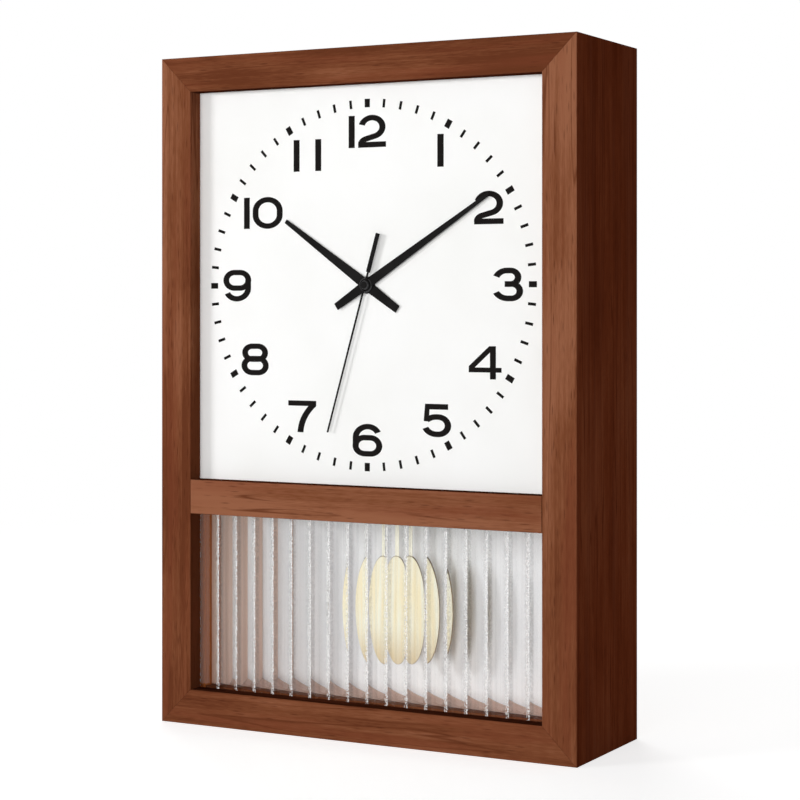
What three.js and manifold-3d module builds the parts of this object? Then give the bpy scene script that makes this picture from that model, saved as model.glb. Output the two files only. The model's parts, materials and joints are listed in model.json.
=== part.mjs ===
// Wall clock with a swinging pendulum behind reeded glass, driven by a quartz movement.
// Millimetres. +Z is up, the front faces -Y, +X is to the right of someone reading the dial.
// The origin is in the middle of the case's footprint, on the surface it stands on.

import * as THREE from 'three';
import { mergeVertices } from 'three/addons/utils/BufferGeometryUtils.js';
import Module from 'manifold-3d';

const wasm = await Module();
wasm.setup();

// Case
const CASE_WIDTH = 240;
const CASE_HEIGHT = 352;
const CASE_DEPTH = 77;
const FRAME_FACE = 18.4;
const LIP_DEPTH = 9.4;
const GLAZING_REBATE = 5;
const BACK_THICKNESS = 5;
const GLUE_GAP = 0.1;

// Middle rail and the window under it
const WINDOW_HEIGHT = 92.8;
const RAIL_HEIGHT = 18;
const RAIL_REBATE = 4;

// Dial, reeded glass and the beads that hold them
const DIAL_THICKNESS = 5;
const DIAL_SKIN = 1.4;
const GLASS_BODY = 3.4;
const FLUTE_COUNT = 18;
const FLUTE_DEPTH = 1.6;
const FLUTE_STEPS = 5;
const BEAD_DEPTH = 8;

// Back: access opening, hanger and screws
const ACCESS_WIDTH = 84;
const ACCESS_HEIGHT = 134;
const ACCESS_ROUND = 10;
const ACCESS_ABOVE_AXIS = 40;
const HANGER_WIDTH = 50;
const HANGER_THICKNESS = 1.2;
const HANGER_BELOW_EDGE = 13.6;
const HANGER_ROUND = 3;
const HANGER_MARGIN = 3.7;
const HANGER_SCREW_MARGIN = 6;
const KEYHOLE_RADIUS = 4.8;
const KEYHOLE_SLOT = 5;
const KEYHOLE_RISE = 7;
const HEAD_ROOM = 2;
const SCREW_RADIUS = 1.4;
const SCREW_HEAD_RADIUS = 3;
const SCREW_HEAD_HEIGHT = 1.6;
const SCREW_CROWN_RADIUS = 1.8;
const SCREW_POINT_RADIUS = 0.7;
const SCREW_BITE = 10;
const SCREW_FROM_END = 40;
const SCREW_SLOT_WIDTH = 0.8;
const SCREW_SLOT_DEPTH = 0.7;
const SCREW_CLEARANCE = 0.3;
const SCREW_HEAD_CLEARANCE = 0.5;

// Hands
const HOUR_TIP_GAP = 43.1;
const HOUR_TAIL = 21.8;
const HOUR_TAIL_WIDTH = 4;
const HOUR_WIDTH = 5.6;
const HOUR_TIP_WIDTH = 2.2;
const MINUTE_TIP_GAP = 19.2;
const MINUTE_TAIL = 20.6;
const MINUTE_TAIL_WIDTH = 3.8;
const MINUTE_WIDTH = 5;
const MINUTE_TIP_WIDTH = 1.8;
const SECOND_TIP_GAP = 23.1;
const SECOND_WIDTH = 1;
const SECOND_TAIL = 27.2;
const SECOND_WEIGHT_LENGTH = 20.4;
const SECOND_WEIGHT_WIDTH = 2.3;
const HAND_THICKNESS = 0.4;
const HAND_BOSS_RADIUS = 3.8;
const SECOND_CAP_RADIUS = 2.4;
const SECOND_CAP = 0.8;
const HAND_COLLAR = 0.3;
const HAND_GAP = 0.2;
const SHOWN_HOURS = 10;
const SHOWN_MINUTES = 9;
const SHOWN_SECONDS = 32;
const SHOWN_TENTHS = 7;

// Arbors, tubes and the threadless nose that passes the dial
const ARBOR_RADIUS = 0.5;
const TUBE_WALL = 0.85;
const POST_RADIUS = 0.45;
const RUNNING_GAP = 0.15;
const SEAT_GAP = 0.08;
const NOSE_WALL = 1.3;
const NOSE_PROUD = 0.2;
const DIAL_HOLE_CLEARANCE = 0.4;

// Wheel train: teeth and modules
const CANNON_TEETH = 10;
const MINUTE_WHEEL_TEETH = 30;
const MINUTE_PINION_TEETH = 8;
const HOUR_WHEEL_TEETH = 32;
const SETTING_TEETH = 12;
const MOTION_MODULE = 0.45;
const CENTRE_TEETH = 64;
const THIRD_PINION_TEETH = 8;
const CENTRE_MODULE = 0.34;
const THIRD_TEETH = 60;
const SECOND_PINION_TEETH = 8;
const SECOND_TEETH = 48;
const STEP_PINION_TEETH = 8;
const SECOND_MODULE = 0.3;
const STEP_TEETH = 40;
const ROTOR_TEETH = 8;
const ROTOR_MODULE = 0.3;
const WHEEL_WIDTH = 1;
const AXIAL_GAP = 0.4;
const ADDENDUM = 0.85;
const DEDENDUM = 1.25;
const ROOT_SHARE = 0.54;
const TIP_SHARE = 0.16;
const LEAF_ROOT_SHARE = 0.4;
const LEAF_TIP_SHARE = 0.16;
const LEAF_LIMIT = 12;

// Movement housing
const SHELL_WALL = 1.5;
const CHAMBER_ROUND = 1.5;
const CHAMBER_CLEARANCE = 1.2;
const COVER_CLEARANCE = 2.3;
const FINGER_NOTCH_WIDTH = 28;
const LUG_CLEARANCE = 2;
const LUG_MARGIN = 3;
const LUG_THICKNESS = 2;
const BOSS_RADIUS = 1.6;

// Setting knob
const KNOB_RADIUS = 6;
const KNOB_WIDTH = 5;
const KNOB_RIBS = 18;
const KNOB_RIB_DEPTH = 0.4;
const STEM_RADIUS = 1.2;
const STEM_CLEARANCE = 0.3;

// Stepping motor and circuit board
const MAGNET_RADIUS = 3;
const MAGNET_WIDTH = 2.4;
const ROTOR_SLEEVE = 1.2;
const STATOR_RIM = 1.1;
const STATOR_THICKNESS = 0.8;
const STATOR_LEG = 4;
const AIR_GAP = 0.5;
const COIL_CLEARANCE = 2.3;
const COIL_END_CLEARANCE = 0.5;
const CORE_THICKNESS = 0.8;
const COIL_LENGTH = 16;
const COIL_HEIGHT = 8;
const COIL_DEPTH = 7;
const COIL_FLANGE = 1;
const COIL_FLANGE_STEP = 0.6;
const BOARD_FROM_AXIS = 8.2;
const BOARD_THICKNESS = 1.2;
const BOARD_STANDOFF = 2;
const CRYSTAL_RADIUS = 1;
const CRYSTAL_LENGTH = 6;

// Power: AA cell, contact plates and spring
const CELL_RADIUS = 7.1;
const CELL_LENGTH = 49.2;
const CELL_NUB_RADIUS = 2.7;
const CELL_NUB_LENGTH = 1.3;
const CELL_ROUND = 0.8;
const CELL_PLAY = 0.5;
const CONTACT_THICKNESS = 0.5;
const CONTACT_WIDTH = 9;
const SPRING_RADIUS = 3.2;
const SPRING_TIP_RADIUS = 2;
const SPRING_WIRE = 0.35;
const SPRING_COIL_GAP = 0.375;
const SPRING_CURLS = 4;
const CURL_STEPS = 8;
const WIRE_SIDES = 5;
const GAP_SAMPLES = 4;

// Pendulum and its drive
const PIVOT_DROP = 36;
const PIVOT_RADIUS = 1;
const PIVOT_HEAD_STEP = 1.2;
const PIVOT_HEAD = 0.8;
const PIVOT_BOSS_WALL = 2.3;
const PIVOT_PLAY = 0.3;
const LEVER_THICKNESS = 2;
const LEVER_PIVOT_WALL = 3.5;
const LEVER_MAGNET_WALL = 3;
const LEVER_HOOK_WALL = 1.3;
const LEVER_ROUND = 2.5;
const MAGNET_DROP = 24;
const DRIVE_MAGNET_RADIUS = 4;
const DRIVE_COIL_RADIUS = 9;
const DRIVE_COIL_BORE = 3;
const DRIVE_COIL_WIDTH = 4;
const DRIVE_GAP = 1.2;
const DRIVE_ROOM = 7.5;
const HOOK_BELOW_MAGNET = 20;
const HOOK_RADIUS = 1.2;
const HOOK_COLLAR_RADIUS = 2.2;
const ROD_WIDTH = 7;
const ROD_THICKNESS = 1;
const ROD_EYE_WALL = 2.4;
const ROD_STANDOFF = 2;
const ROD_END_GAP = 9;
const BOB_RADIUS = 28.4;
const BOB_FLOOR_GAP = 20.5;
const BOB_DOME = 3.6;
const BOB_SHEET = 0.6;
const BOB_DOME_RINGS = 4;

// Facets
const ROUND_SIDES = 20;
const SMALL_SIDES = 12;
const SMALL_RADIUS = 2;
const SCREW_SIDES = 8;
const BOB_SIDES = 36;
const CURVE_STEPS = 3;
const MERGE_DISTANCE = 1e-4;

// How far a cutting shape runs past the face that it cuts through
const CUT_OVERRUN = 1;

// Places worked out from the driving sizes. A depth is a distance behind the front face of the case.
const wall = FRAME_FACE - GLAZING_REBATE;
const backRebate = 2 * (SCREW_HEAD_RADIUS + SCREW_HEAD_CLEARANCE);
const rearEdge = wall - backRebate;
const insideWidth = CASE_WIDTH - 2 * wall;
const openingWidth = CASE_WIDTH - 2 * FRAME_FACE;
const railBottom = FRAME_FACE + WINDOW_HEIGHT;
const railTop = railBottom + RAIL_HEIGHT;
const tongueBottom = railBottom + RAIL_REBATE;
const tongueTop = railTop - RAIL_REBATE;
const openingTop = CASE_HEIGHT - FRAME_FACE;
const axisHeight = (railTop + openingTop) / 2;
const handRoom = Math.min(openingWidth, openingTop - railTop) / 2;
const dialFront = LIP_DEPTH + GLUE_GAP;
const dialRear = dialFront + DIAL_THICKNESS;
const glassRear = dialFront + FLUTE_DEPTH + GLASS_BODY;
const railRear = Math.max(dialRear, glassRear) + GLUE_GAP + BEAD_DEPTH;
const hangerHeight = KEYHOLE_RISE + 2 * (KEYHOLE_RADIUS + HANGER_MARGIN);
const backInset = HANGER_THICKNESS + SCREW_HEAD_HEIGHT + 3 * GLUE_GAP;
const backRear = CASE_DEPTH - backInset;
const backFront = backRear - BACK_THICKNESS;

// Radii from the second arbor outwards
const tubeBore = ARBOR_RADIUS + RUNNING_GAP;
const tubeRadius = tubeBore + TUBE_WALL;
const pipeBore = tubeRadius + RUNNING_GAP;
const pipeRadius = pipeBore + TUBE_WALL;
const noseBore = pipeRadius + RUNNING_GAP;
const noseRadius = noseBore + NOSE_WALL;
const dialHole = noseRadius + DIAL_HOLE_CLEARANCE;
const postBore = POST_RADIUS + SEAT_GAP;

// Wheel levels, counted from the front of the movement
const HOUR_LEVEL = 0;
const MOTION_LEVEL = 1;
const CENTRE_LEVEL = 2;
const THIRD_LEVEL = 3;
const SECOND_LEVEL = 4;
const STEP_LEVEL = 5;
const ROTOR_LEVEL = 6;
const shellFront = dialRear + GLUE_GAP;
const chamberFront = shellFront + SHELL_WALL;
const level = (count) => chamberFront + AXIAL_GAP + count * (WHEEL_WIDTH + AXIAL_GAP);
const levelRear = (count) => level(count) + WHEEL_WIDTH;
const levelMiddle = (count) => level(count) + WHEEL_WIDTH / 2;
const magnetRear = level(ROTOR_LEVEL) + MAGNET_WIDTH;

// Depths of the motor, and of the housing that is closed behind the cell and the motor coil
const statorFront = level(ROTOR_LEVEL) + (MAGNET_WIDTH - STATOR_THICKNESS) / 2;
const statorRear = statorFront + STATOR_THICKNESS;
const coreFront = statorRear + GLUE_GAP;
const coreRear = coreFront + CORE_THICKNESS;
const coilMiddle = (coreFront + coreRear) / 2;
const coilFront = coilMiddle - COIL_DEPTH / 2;
const coilRear = coilMiddle + COIL_DEPTH / 2;
const bayHeight = 2 * (CELL_RADIUS + CELL_PLAY);
const shellRear = Math.max(chamberFront + bayHeight, coilRear + COIL_FLANGE_STEP) + COVER_CLEARANCE;
const coverFront = shellRear + GLUE_GAP;
const coverRear = coverFront + SHELL_WALL;

// Arbor places in the plane of the dial, from the hand axis
const centreDistance = (module, teethA, teethB) => (module * (teethA + teethB)) / 2;
const tipRadius = (module, teeth) => module * (teeth / 2 + ADDENDUM);
const thirdModule =
  (CENTRE_MODULE * (CENTRE_TEETH + THIRD_PINION_TEETH)) / (THIRD_TEETH + SECOND_PINION_TEETH);
const hourModule =
  (MOTION_MODULE * (CANNON_TEETH + MINUTE_WHEEL_TEETH)) / (MINUTE_PINION_TEETH + HOUR_WHEEL_TEETH);
const minuteWheelX = -centreDistance(MOTION_MODULE, CANNON_TEETH, MINUTE_WHEEL_TEETH);
const settingX = minuteWheelX - centreDistance(MOTION_MODULE, MINUTE_WHEEL_TEETH, SETTING_TEETH);
const thirdX = centreDistance(CENTRE_MODULE, CENTRE_TEETH, THIRD_PINION_TEETH);
const stepX = -centreDistance(SECOND_MODULE, SECOND_TEETH, STEP_PINION_TEETH);
const rotorZ = -centreDistance(ROTOR_MODULE, STEP_TEETH, ROTOR_TEETH);

// Housing outline, from the hand axis
const springLength = SPRING_CURLS * (2 * SPRING_WIRE + SPRING_COIL_GAP) + 2 * SPRING_WIRE;
const bayLength = CELL_LENGTH + CELL_NUB_LENGTH + springLength + 2 * CONTACT_THICKNESS + 4 * GLUE_GAP;
const chamberLeft = -settingX + tipRadius(MOTION_MODULE, SETTING_TEETH) + CHAMBER_CLEARANCE;
const chamberRight = thirdX + tipRadius(thirdModule, THIRD_TEETH) + CHAMBER_CLEARANCE;
const bodyHalf = Math.max(chamberLeft, chamberRight, bayLength / 2) + SHELL_WALL;
const largestWheel = Math.max(tipRadius(CENTRE_MODULE, CENTRE_TEETH), tipRadius(thirdModule, THIRD_TEETH));
const chamberTop = largestWheel + CHAMBER_CLEARANCE;
const bayBottom = chamberTop + SHELL_WALL;
const bayTop = bayBottom + bayHeight;
const statorHalf = MAGNET_RADIUS + AIR_GAP + STATOR_RIM;
const statorLength = COIL_LENGTH + 2 * (STATOR_LEG + COIL_END_CLEARANCE);
const coreDrop = statorHalf + COIL_CLEARANCE + COIL_FLANGE_STEP + COIL_HEIGHT / 2;
const coreZ = rotorZ - coreDrop;
const chamberBottom = coreZ - COIL_HEIGHT / 2 - COIL_FLANGE_STEP - CHAMBER_CLEARANCE;
const pivotZ = -PIVOT_DROP;
const driveZ = pivotZ - MAGNET_DROP;
const tailBottom = driveZ - DRIVE_COIL_RADIUS - CHAMBER_CLEARANCE;
const lugX = bodyHalf + SCREW_HEAD_RADIUS + LUG_CLEARANCE;

// Depths of the pendulum's pieces behind the movement
const leverFront = coverRear + DRIVE_GAP;
const leverRear = leverFront + LEVER_THICKNESS;
const rodFront = leverRear + ROD_STANDOFF;
const rodRear = rodFront + ROD_THICKNESS;
const hookZ = -MAGNET_DROP - HOOK_BELOW_MAGNET;
const bobZ = wall + BOB_FLOOR_GAP + BOB_RADIUS - (axisHeight + pivotZ);

// Hands, stacked in front of the nose of the movement
const noseFront = dialFront - NOSE_PROUD;
const handStep = HAND_THICKNESS + HAND_COLLAR + HAND_GAP;
const hourHandDepth = noseFront - handStep;
const minuteHandDepth = hourHandDepth - handStep;
const secondHandDepth = minuteHandDepth - handStep;
const capFront = secondHandDepth - SECOND_CAP;
const socketFloor = secondHandDepth - SECOND_CAP / 2;

const atDepth = (depth) => depth - CASE_DEPTH / 2;

// Finishes
const finish = (color, roughness, metalness = 0) =>
  new THREE.MeshStandardMaterial({ color, roughness, metalness });
const stainedWood = () => finish(0x78462d, 0.55);
const rawWood = () => finish(0xb98f63, 0.8);
const hardboard = () => finish(0x8a6a4a, 0.85);
const dialWhite = () => finish(0xf7f7f5, 0.6);
const clearGlass = () => {
  const glass = finish(0xe6ecea, 0.08);
  glass.transparent = true;
  glass.opacity = 0.35;
  return glass;
};
const blackPaint = () => finish(0x141414, 0.5);
const blackPlastic = () => finish(0x1c1c1e, 0.6);
const wheelPlastic = () => finish(0xe9e4d6, 0.5);
const steel = () => finish(0xb8bbbf, 0.35, 1);
const zincSteel = () => finish(0xc9c5b4, 0.4, 1);
const paleBrass = () => finish(0xe6d292, 0.28, 1);
const copperWire = () => finish(0xb0552c, 0.45, 1);
const boardGreen = () => finish(0x2f6b45, 0.6);
const darkMagnet = () => finish(0x4a4a4d, 0.5, 0.6);
const cellWrap = () => finish(0x3a4f7a, 0.4);

// Closed solids: join and cut
function toSolid(geometry) {
  const bare = new THREE.BufferGeometry();
  bare.setAttribute('position', geometry.getAttribute('position'));
  bare.setIndex(geometry.getIndex());
  const merged = mergeVertices(bare, MERGE_DISTANCE);
  const index = merged.getIndex().array;
  const triangles = [];
  for (let i = 0; i < index.length; i += 3) {
    const [a, b, c] = index.slice(i, i + 3);
    if (a !== b && b !== c && c !== a) {
      triangles.push(a, b, c);
    }
  }
  return new wasm.Manifold(
    new wasm.Mesh({
      numProp: 3,
      vertProperties: Float32Array.from(merged.getAttribute('position').array),
      triVerts: Uint32Array.from(triangles),
    }),
  );
}

function toGeometry(solid) {
  const mesh = solid.getMesh();
  const geometry = new THREE.BufferGeometry();
  geometry.setAttribute('position', new THREE.BufferAttribute(mesh.vertProperties, 3));
  geometry.setIndex(new THREE.BufferAttribute(mesh.triVerts, 1));
  return geometry;
}

const join = (first, ...others) =>
  toGeometry(others.reduce((solid, other) => solid.add(toSolid(other)), toSolid(first)));
const cut = (first, ...tools) =>
  toGeometry(tools.reduce((solid, tool) => solid.subtract(toSolid(tool)), toSolid(first)));

// A flat shape drawn as seen from the front (x to the right, y up), made solid between two depths
function slab(shape, front, back) {
  const geometry = new THREE.ExtrudeGeometry(shape, {
    depth: back - front,
    bevelEnabled: false,
    curveSegments: CURVE_STEPS,
  });
  geometry.rotateX(Math.PI / 2);
  geometry.translate(0, atDepth(back), 0);
  return geometry;
}

// A profile of radius and depth, turned about an axis that runs from front to back
function turned(profile, sides = ROUND_SIDES) {
  const points = profile.map(([radius, depth]) => new THREE.Vector2(radius, atDepth(depth)));
  return new THREE.LatheGeometry(points, sides);
}

const sidesFor = (radius) => (radius < SMALL_RADIUS ? SMALL_SIDES : ROUND_SIDES);
const pin = (radius, front, back) =>
  turned([[0, front], [radius, front], [radius, back], [0, back]], sidesFor(radius));
const tube = (bore, radius, front, back) =>
  turned([[bore, front], [radius, front], [radius, back], [bore, back], [bore, front]]);
const bore = (radius, front, back) => pin(radius, front - CUT_OVERRUN, back + CUT_OVERRUN);
const moved = (geometry, x, z) => geometry.translate(x, 0, z);

// An outline with its corners rounded, by one curve at each corner
function rounded(corners, radius) {
  const shape = new THREE.Shape();
  corners.forEach(([x, y], i) => {
    const corner = new THREE.Vector2(x, y);
    const before = new THREE.Vector2(...corners.at(i - 1));
    const after = new THREE.Vector2(...corners[(i + 1) % corners.length]);
    const arrive = before.sub(corner).setLength(radius).add(corner);
    const leave = after.sub(corner).setLength(radius).add(corner);
    if (i === 0) {
      shape.moveTo(arrive.x, arrive.y);
    } else {
      shape.lineTo(arrive.x, arrive.y);
    }
    shape.quadraticCurveTo(corner.x, corner.y, leave.x, leave.y);
  });
  shape.closePath();
  return shape;
}

const boxCorners = (left, bottom, right, top) => [
  [left, bottom],
  [right, bottom],
  [right, top],
  [left, top],
];
const polygon = (corners) => new THREE.Shape(corners.map(([x, y]) => new THREE.Vector2(x, y)));
const rectangle = (left, bottom, right, top) => polygon(boxCorners(left, bottom, right, top));
const block = (left, bottom, right, top, front, back) =>
  slab(rectangle(left, bottom, right, top), front, back);

const clock = new THREE.Group();
const movement = new THREE.Group();
movement.position.z = axisHeight;
clock.add(movement);
const pendulum = new THREE.Group();
pendulum.position.z = pivotZ;
movement.add(pendulum);

function piece(name, geometry, material, parent = clock) {
  const mesh = new THREE.Mesh(geometry, material);
  mesh.name = name;
  parent.add(mesh);
  return mesh;
}

// A pan head screw driven from the back: its head sits behind the seat, its shank runs forward
function screw(seat, length) {
  const headFront = seat + GLUE_GAP;
  const headRear = headFront + SCREW_HEAD_HEIGHT;
  const body = turned([
    [0, seat - length],
    [SCREW_POINT_RADIUS, seat - length],
    [SCREW_RADIUS, seat - length + SCREW_RADIUS],
    [SCREW_RADIUS, headFront],
    [SCREW_HEAD_RADIUS, headFront],
    [SCREW_HEAD_RADIUS, headFront + SCREW_HEAD_HEIGHT / 2],
    [SCREW_CROWN_RADIUS, headRear],
    [0, headRear],
  ], SCREW_SIDES);
  const slot = block(
    -SCREW_HEAD_RADIUS,
    -SCREW_SLOT_WIDTH / 2,
    SCREW_HEAD_RADIUS,
    SCREW_SLOT_WIDTH / 2,
    headRear - SCREW_SLOT_DEPTH,
    headRear + SCREW_SLOT_DEPTH,
  );
  return cut(body, slot);
}
const screwHole = (front, back) => bore(SCREW_RADIUS + SCREW_CLEARANCE, front, back);
const pilotHole = (seat, bite) => screwHole(seat - bite - SCREW_CLEARANCE + CUT_OVERRUN, seat);

// Case: four boards of one moulding, mitred at the corners
const backScrewInset = (rearEdge + wall) / 2;
const backScrewHeights = [SCREW_FROM_END, CASE_HEIGHT / 2, CASE_HEIGHT - SCREW_FROM_END];

function board(length) {
  const moulding = polygon([
    [0, 0],
    [FRAME_FACE, 0],
    [FRAME_FACE, LIP_DEPTH],
    [wall, LIP_DEPTH],
    [wall, backFront - GLUE_GAP],
    [rearEdge, backFront - GLUE_GAP],
    [rearEdge, CASE_DEPTH],
    [0, CASE_DEPTH],
  ]);
  const geometry = new THREE.ExtrudeGeometry(moulding, { depth: length, bevelEnabled: false });
  const position = geometry.getAttribute('position');
  for (let i = 0; i < position.count; i += 1) {
    const mitre = position.getX(i) + GLUE_GAP / 2;
    position.setZ(i, position.getZ(i) > 0 ? length - mitre : mitre);
  }
  return geometry.translate(0, atDepth(0), 0);
}

function sideBoard() {
  const holes = backScrewHeights.map((height) =>
    moved(pilotHole(backFront, SCREW_BITE), backScrewInset, height),
  );
  return cut(board(CASE_HEIGHT), ...holes);
}

function placeBoard(name, geometry, x, z, quarterTurns) {
  const mesh = piece(name, geometry, stainedWood());
  mesh.position.set(x, 0, z);
  mesh.rotation.y = (quarterTurns * Math.PI) / 2;
}
placeBoard('case_left_side', sideBoard(), -CASE_WIDTH / 2, 0, 0);
placeBoard('case_top', board(CASE_WIDTH), -CASE_WIDTH / 2, CASE_HEIGHT, 1);
placeBoard('case_right_side', sideBoard(), CASE_WIDTH / 2, CASE_HEIGHT, 2);
placeBoard('case_bottom', board(CASE_WIDTH), CASE_WIDTH / 2, 0, 3);

// Middle rail: a bar between the frame's lips, with a tongue behind it that reaches the case walls
const railHalf = openingWidth / 2 - GLUE_GAP;
const tongueHalf = insideWidth / 2 - GLUE_GAP;
const railBar = block(-railHalf, railBottom, railHalf, railTop, 0, LIP_DEPTH);
const railTongue = block(-tongueHalf, tongueBottom, tongueHalf, tongueTop, dialFront, railRear);
const railNeck = block(-railHalf, tongueBottom, railHalf, tongueTop, LIP_DEPTH / 2, railRear);
piece('middle_rail', join(railBar, railNeck, railTongue), stainedWood());

// Dial board, with its centre hole and blind holes for the movement's two screws
const dialHalf = insideWidth / 2 - GLUE_GAP;
const dialBottom = tongueTop + GLUE_GAP;
const dialTop = CASE_HEIGHT - wall - GLUE_GAP;
const dialBite = DIAL_THICKNESS - DIAL_SKIN;
const dialBoard = block(-dialHalf, dialBottom, dialHalf, dialTop, dialFront, dialRear);
const dialHoles = [-lugX, lugX].map((x) => moved(pilotHole(dialRear, dialBite), x, axisHeight));
const dialBore = moved(bore(dialHole, dialFront, dialRear), 0, axisHeight);
piece('dial_plate', cut(dialBoard, dialBore, ...dialHoles), dialWhite());

// Reeded glass: a row of hollow flutes on the front that meet in sharp ridges, flat margins in the rebates
function reededGlass() {
  const half = insideWidth / 2 - GLUE_GAP;
  const pitch = openingWidth / FLUTE_COUNT;
  const ridge = atDepth(dialFront);
  const rear = atDepth(glassRear);
  const radius = ((pitch / 2) ** 2 + FLUTE_DEPTH ** 2) / (2 * FLUTE_DEPTH);
  const centre = ridge + FLUTE_DEPTH - radius;
  const reach = Math.acos((radius - FLUTE_DEPTH) / radius);
  const outline = new THREE.Shape();
  outline.moveTo(half, ridge);
  outline.lineTo(half, rear);
  outline.lineTo(-half, rear);
  outline.lineTo(-half, ridge);
  for (let flute = 0; flute < FLUTE_COUNT; flute += 1) {
    const middle = -openingWidth / 2 + (flute + 0.5) * pitch;
    outline.absarc(middle, centre, radius, Math.PI / 2 + reach, Math.PI / 2 - reach, true);
  }
  const height = tongueBottom - wall - 2 * GLUE_GAP;
  const geometry = new THREE.ExtrudeGeometry(outline, {
    depth: height,
    bevelEnabled: false,
    curveSegments: FLUTE_STEPS,
  });
  return geometry.translate(0, 0, wall + GLUE_GAP);
}
piece('reeded_glass', reededGlass(), clearGlass());

// Wooden beads behind the dial and the glass
const beadOuter = insideWidth / 2 - GLUE_GAP;
const beadInner = beadOuter - GLAZING_REBATE;
function sideBeads(prefix, bottom, top, seat) {
  const front = seat + GLUE_GAP;
  const back = front + BEAD_DEPTH;
  piece(`${prefix}_bead_left`, block(-beadOuter, bottom, -beadInner, top, front, back), rawWood());
  piece(`${prefix}_bead_right`, block(beadInner, bottom, beadOuter, top, front, back), rawWood());
}
function crossBead(name, bottom, seat) {
  const half = beadInner - GLUE_GAP;
  const front = seat + GLUE_GAP;
  const bar = block(-half, bottom, half, bottom + GLAZING_REBATE, front, front + BEAD_DEPTH);
  piece(name, bar, rawWood());
}
sideBeads('dial', dialBottom, dialTop, dialRear);
crossBead('dial_bead_top', dialTop - GLAZING_REBATE, dialRear);
sideBeads('glass', wall + GLUE_GAP, tongueBottom - GLUE_GAP, glassRear);
crossBead('glass_bead_bottom', wall + GLUE_GAP, glassRear);

// Back panel with an opening to reach the cell and the setting knob, and a hole behind the hanger
const backHalf = CASE_WIDTH / 2 - rearEdge - GLUE_GAP;
const backBottom = rearEdge + GLUE_GAP;
const backTop = CASE_HEIGHT - rearEdge - GLUE_GAP;
const accessTop = axisHeight + ACCESS_ABOVE_AXIS;
const hangerZ = backTop - HANGER_BELOW_EDGE - hangerHeight / 2;
const keyholeDrop = -KEYHOLE_RISE / 2;

function keyhole(spare) {
  const slotHalf = KEYHOLE_SLOT / 2 + spare;
  const entry = KEYHOLE_RADIUS + spare;
  const rise = KEYHOLE_RISE + spare;
  const meet = Math.acos(slotHalf / entry);
  const hole = new THREE.Path();
  hole.absarc(0, 0, entry, Math.PI - meet, 2 * Math.PI + meet, false);
  hole.absarc(0, rise, slotHalf, 0, Math.PI, false);
  hole.closePath();
  return hole;
}

const accessHole = rounded(
  boxCorners(-ACCESS_WIDTH / 2, accessTop - ACCESS_HEIGHT, ACCESS_WIDTH / 2, accessTop),
  ACCESS_ROUND,
);
const backBoard = block(-backHalf, backBottom, backHalf, backTop, backFront, backRear);
const headRoom = new THREE.Shape(keyhole(HEAD_ROOM).getPoints(CURVE_STEPS * 2));
const hangerScrewXs = [-1, 1].map((side) => side * (HANGER_WIDTH / 2 - HANGER_SCREW_MARGIN));
const cutThrough = (shape, front, back) => slab(shape, front - CUT_OVERRUN, back + CUT_OVERRUN);
const backHoles = [
  cutThrough(accessHole, backFront, backRear),
  moved(cutThrough(headRoom, backFront, backRear), 0, hangerZ + keyholeDrop),
  ...hangerScrewXs.map((x) => moved(screwHole(backFront, backRear), x, hangerZ)),
];
const backScrewX = CASE_WIDTH / 2 - backScrewInset;
const backScrewPlaces = backScrewHeights.flatMap((z) => [[-backScrewX, z], [backScrewX, z]]);
backScrewPlaces.forEach(([x, z]) => backHoles.push(moved(screwHole(backFront, backRear), x, z)));
piece('back_panel', cut(backBoard, ...backHoles), hardboard());

const backScrewNames = ['lower', 'middle', 'upper'].flatMap((row) => [`${row}_left`, `${row}_right`]);
backScrewNames.forEach((where, i) => {
  const [x, z] = backScrewPlaces[i];
  piece(`back_screw_${where}`, screw(backRear, BACK_THICKNESS + SCREW_BITE), steel()).position.set(x, 0, z);
});

// Keyhole hanger plate in the recess of the case, with screws no longer than the plate and panel they hold
const hangerShape = rounded(
  boxCorners(-HANGER_WIDTH / 2, -hangerHeight / 2, HANGER_WIDTH / 2, hangerHeight / 2),
  HANGER_ROUND,
);
const hangerFront = backRear + GLUE_GAP;
const hangerRear = hangerFront + HANGER_THICKNESS;
const keyholeShape = new THREE.Shape(keyhole(0).getPoints(CURVE_STEPS * 2));
const hangerCuts = [
  moved(cutThrough(keyholeShape, hangerFront, hangerRear), 0, keyholeDrop),
  ...hangerScrewXs.map((x) => moved(screwHole(hangerFront, hangerRear), x, 0)),
];
const hangerBlank = slab(hangerShape, hangerFront, hangerRear);
piece('hanger_plate', cut(hangerBlank, ...hangerCuts), zincSteel()).position.z = hangerZ;
hangerScrewXs.forEach((x, i) => {
  const length = HANGER_THICKNESS + BACK_THICKNESS - SCREW_CLEARANCE;
  const name = `hanger_screw_${['left', 'right'][i]}`;
  piece(name, screw(hangerRear, length), steel()).position.set(x, 0, hangerZ);
});

// Wheels: straight-sided teeth with play in the mesh. A phase is the angle of a tooth, clockwise from twelve
function toothedShape(teeth, module, phase) {
  const pitch = (2 * Math.PI) / teeth;
  const isPinion = teeth <= LEAF_LIMIT;
  const rootHalf = ((isPinion ? LEAF_ROOT_SHARE : ROOT_SHARE) * pitch) / 2;
  const tipHalf = ((isPinion ? LEAF_TIP_SHARE : TIP_SHARE) * pitch) / 2;
  const root = module * (teeth / 2 - DEDENDUM);
  const tip = tipRadius(module, teeth);
  const corners = [];
  for (let tooth = 0; tooth < teeth; tooth += 1) {
    const middle = phase + tooth * pitch;
    const flanks = [[root, -rootHalf], [tip, -tipHalf], [tip, tipHalf], [root, rootHalf]];
    flanks.forEach(([radius, offset]) => {
      corners.push([radius * Math.sin(middle + offset), radius * Math.cos(middle + offset)]);
    });
  }
  return polygon(corners);
}
const wheel = (teeth, module, phase, front, back) => slab(toothedShape(teeth, module, phase), front, back);

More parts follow.
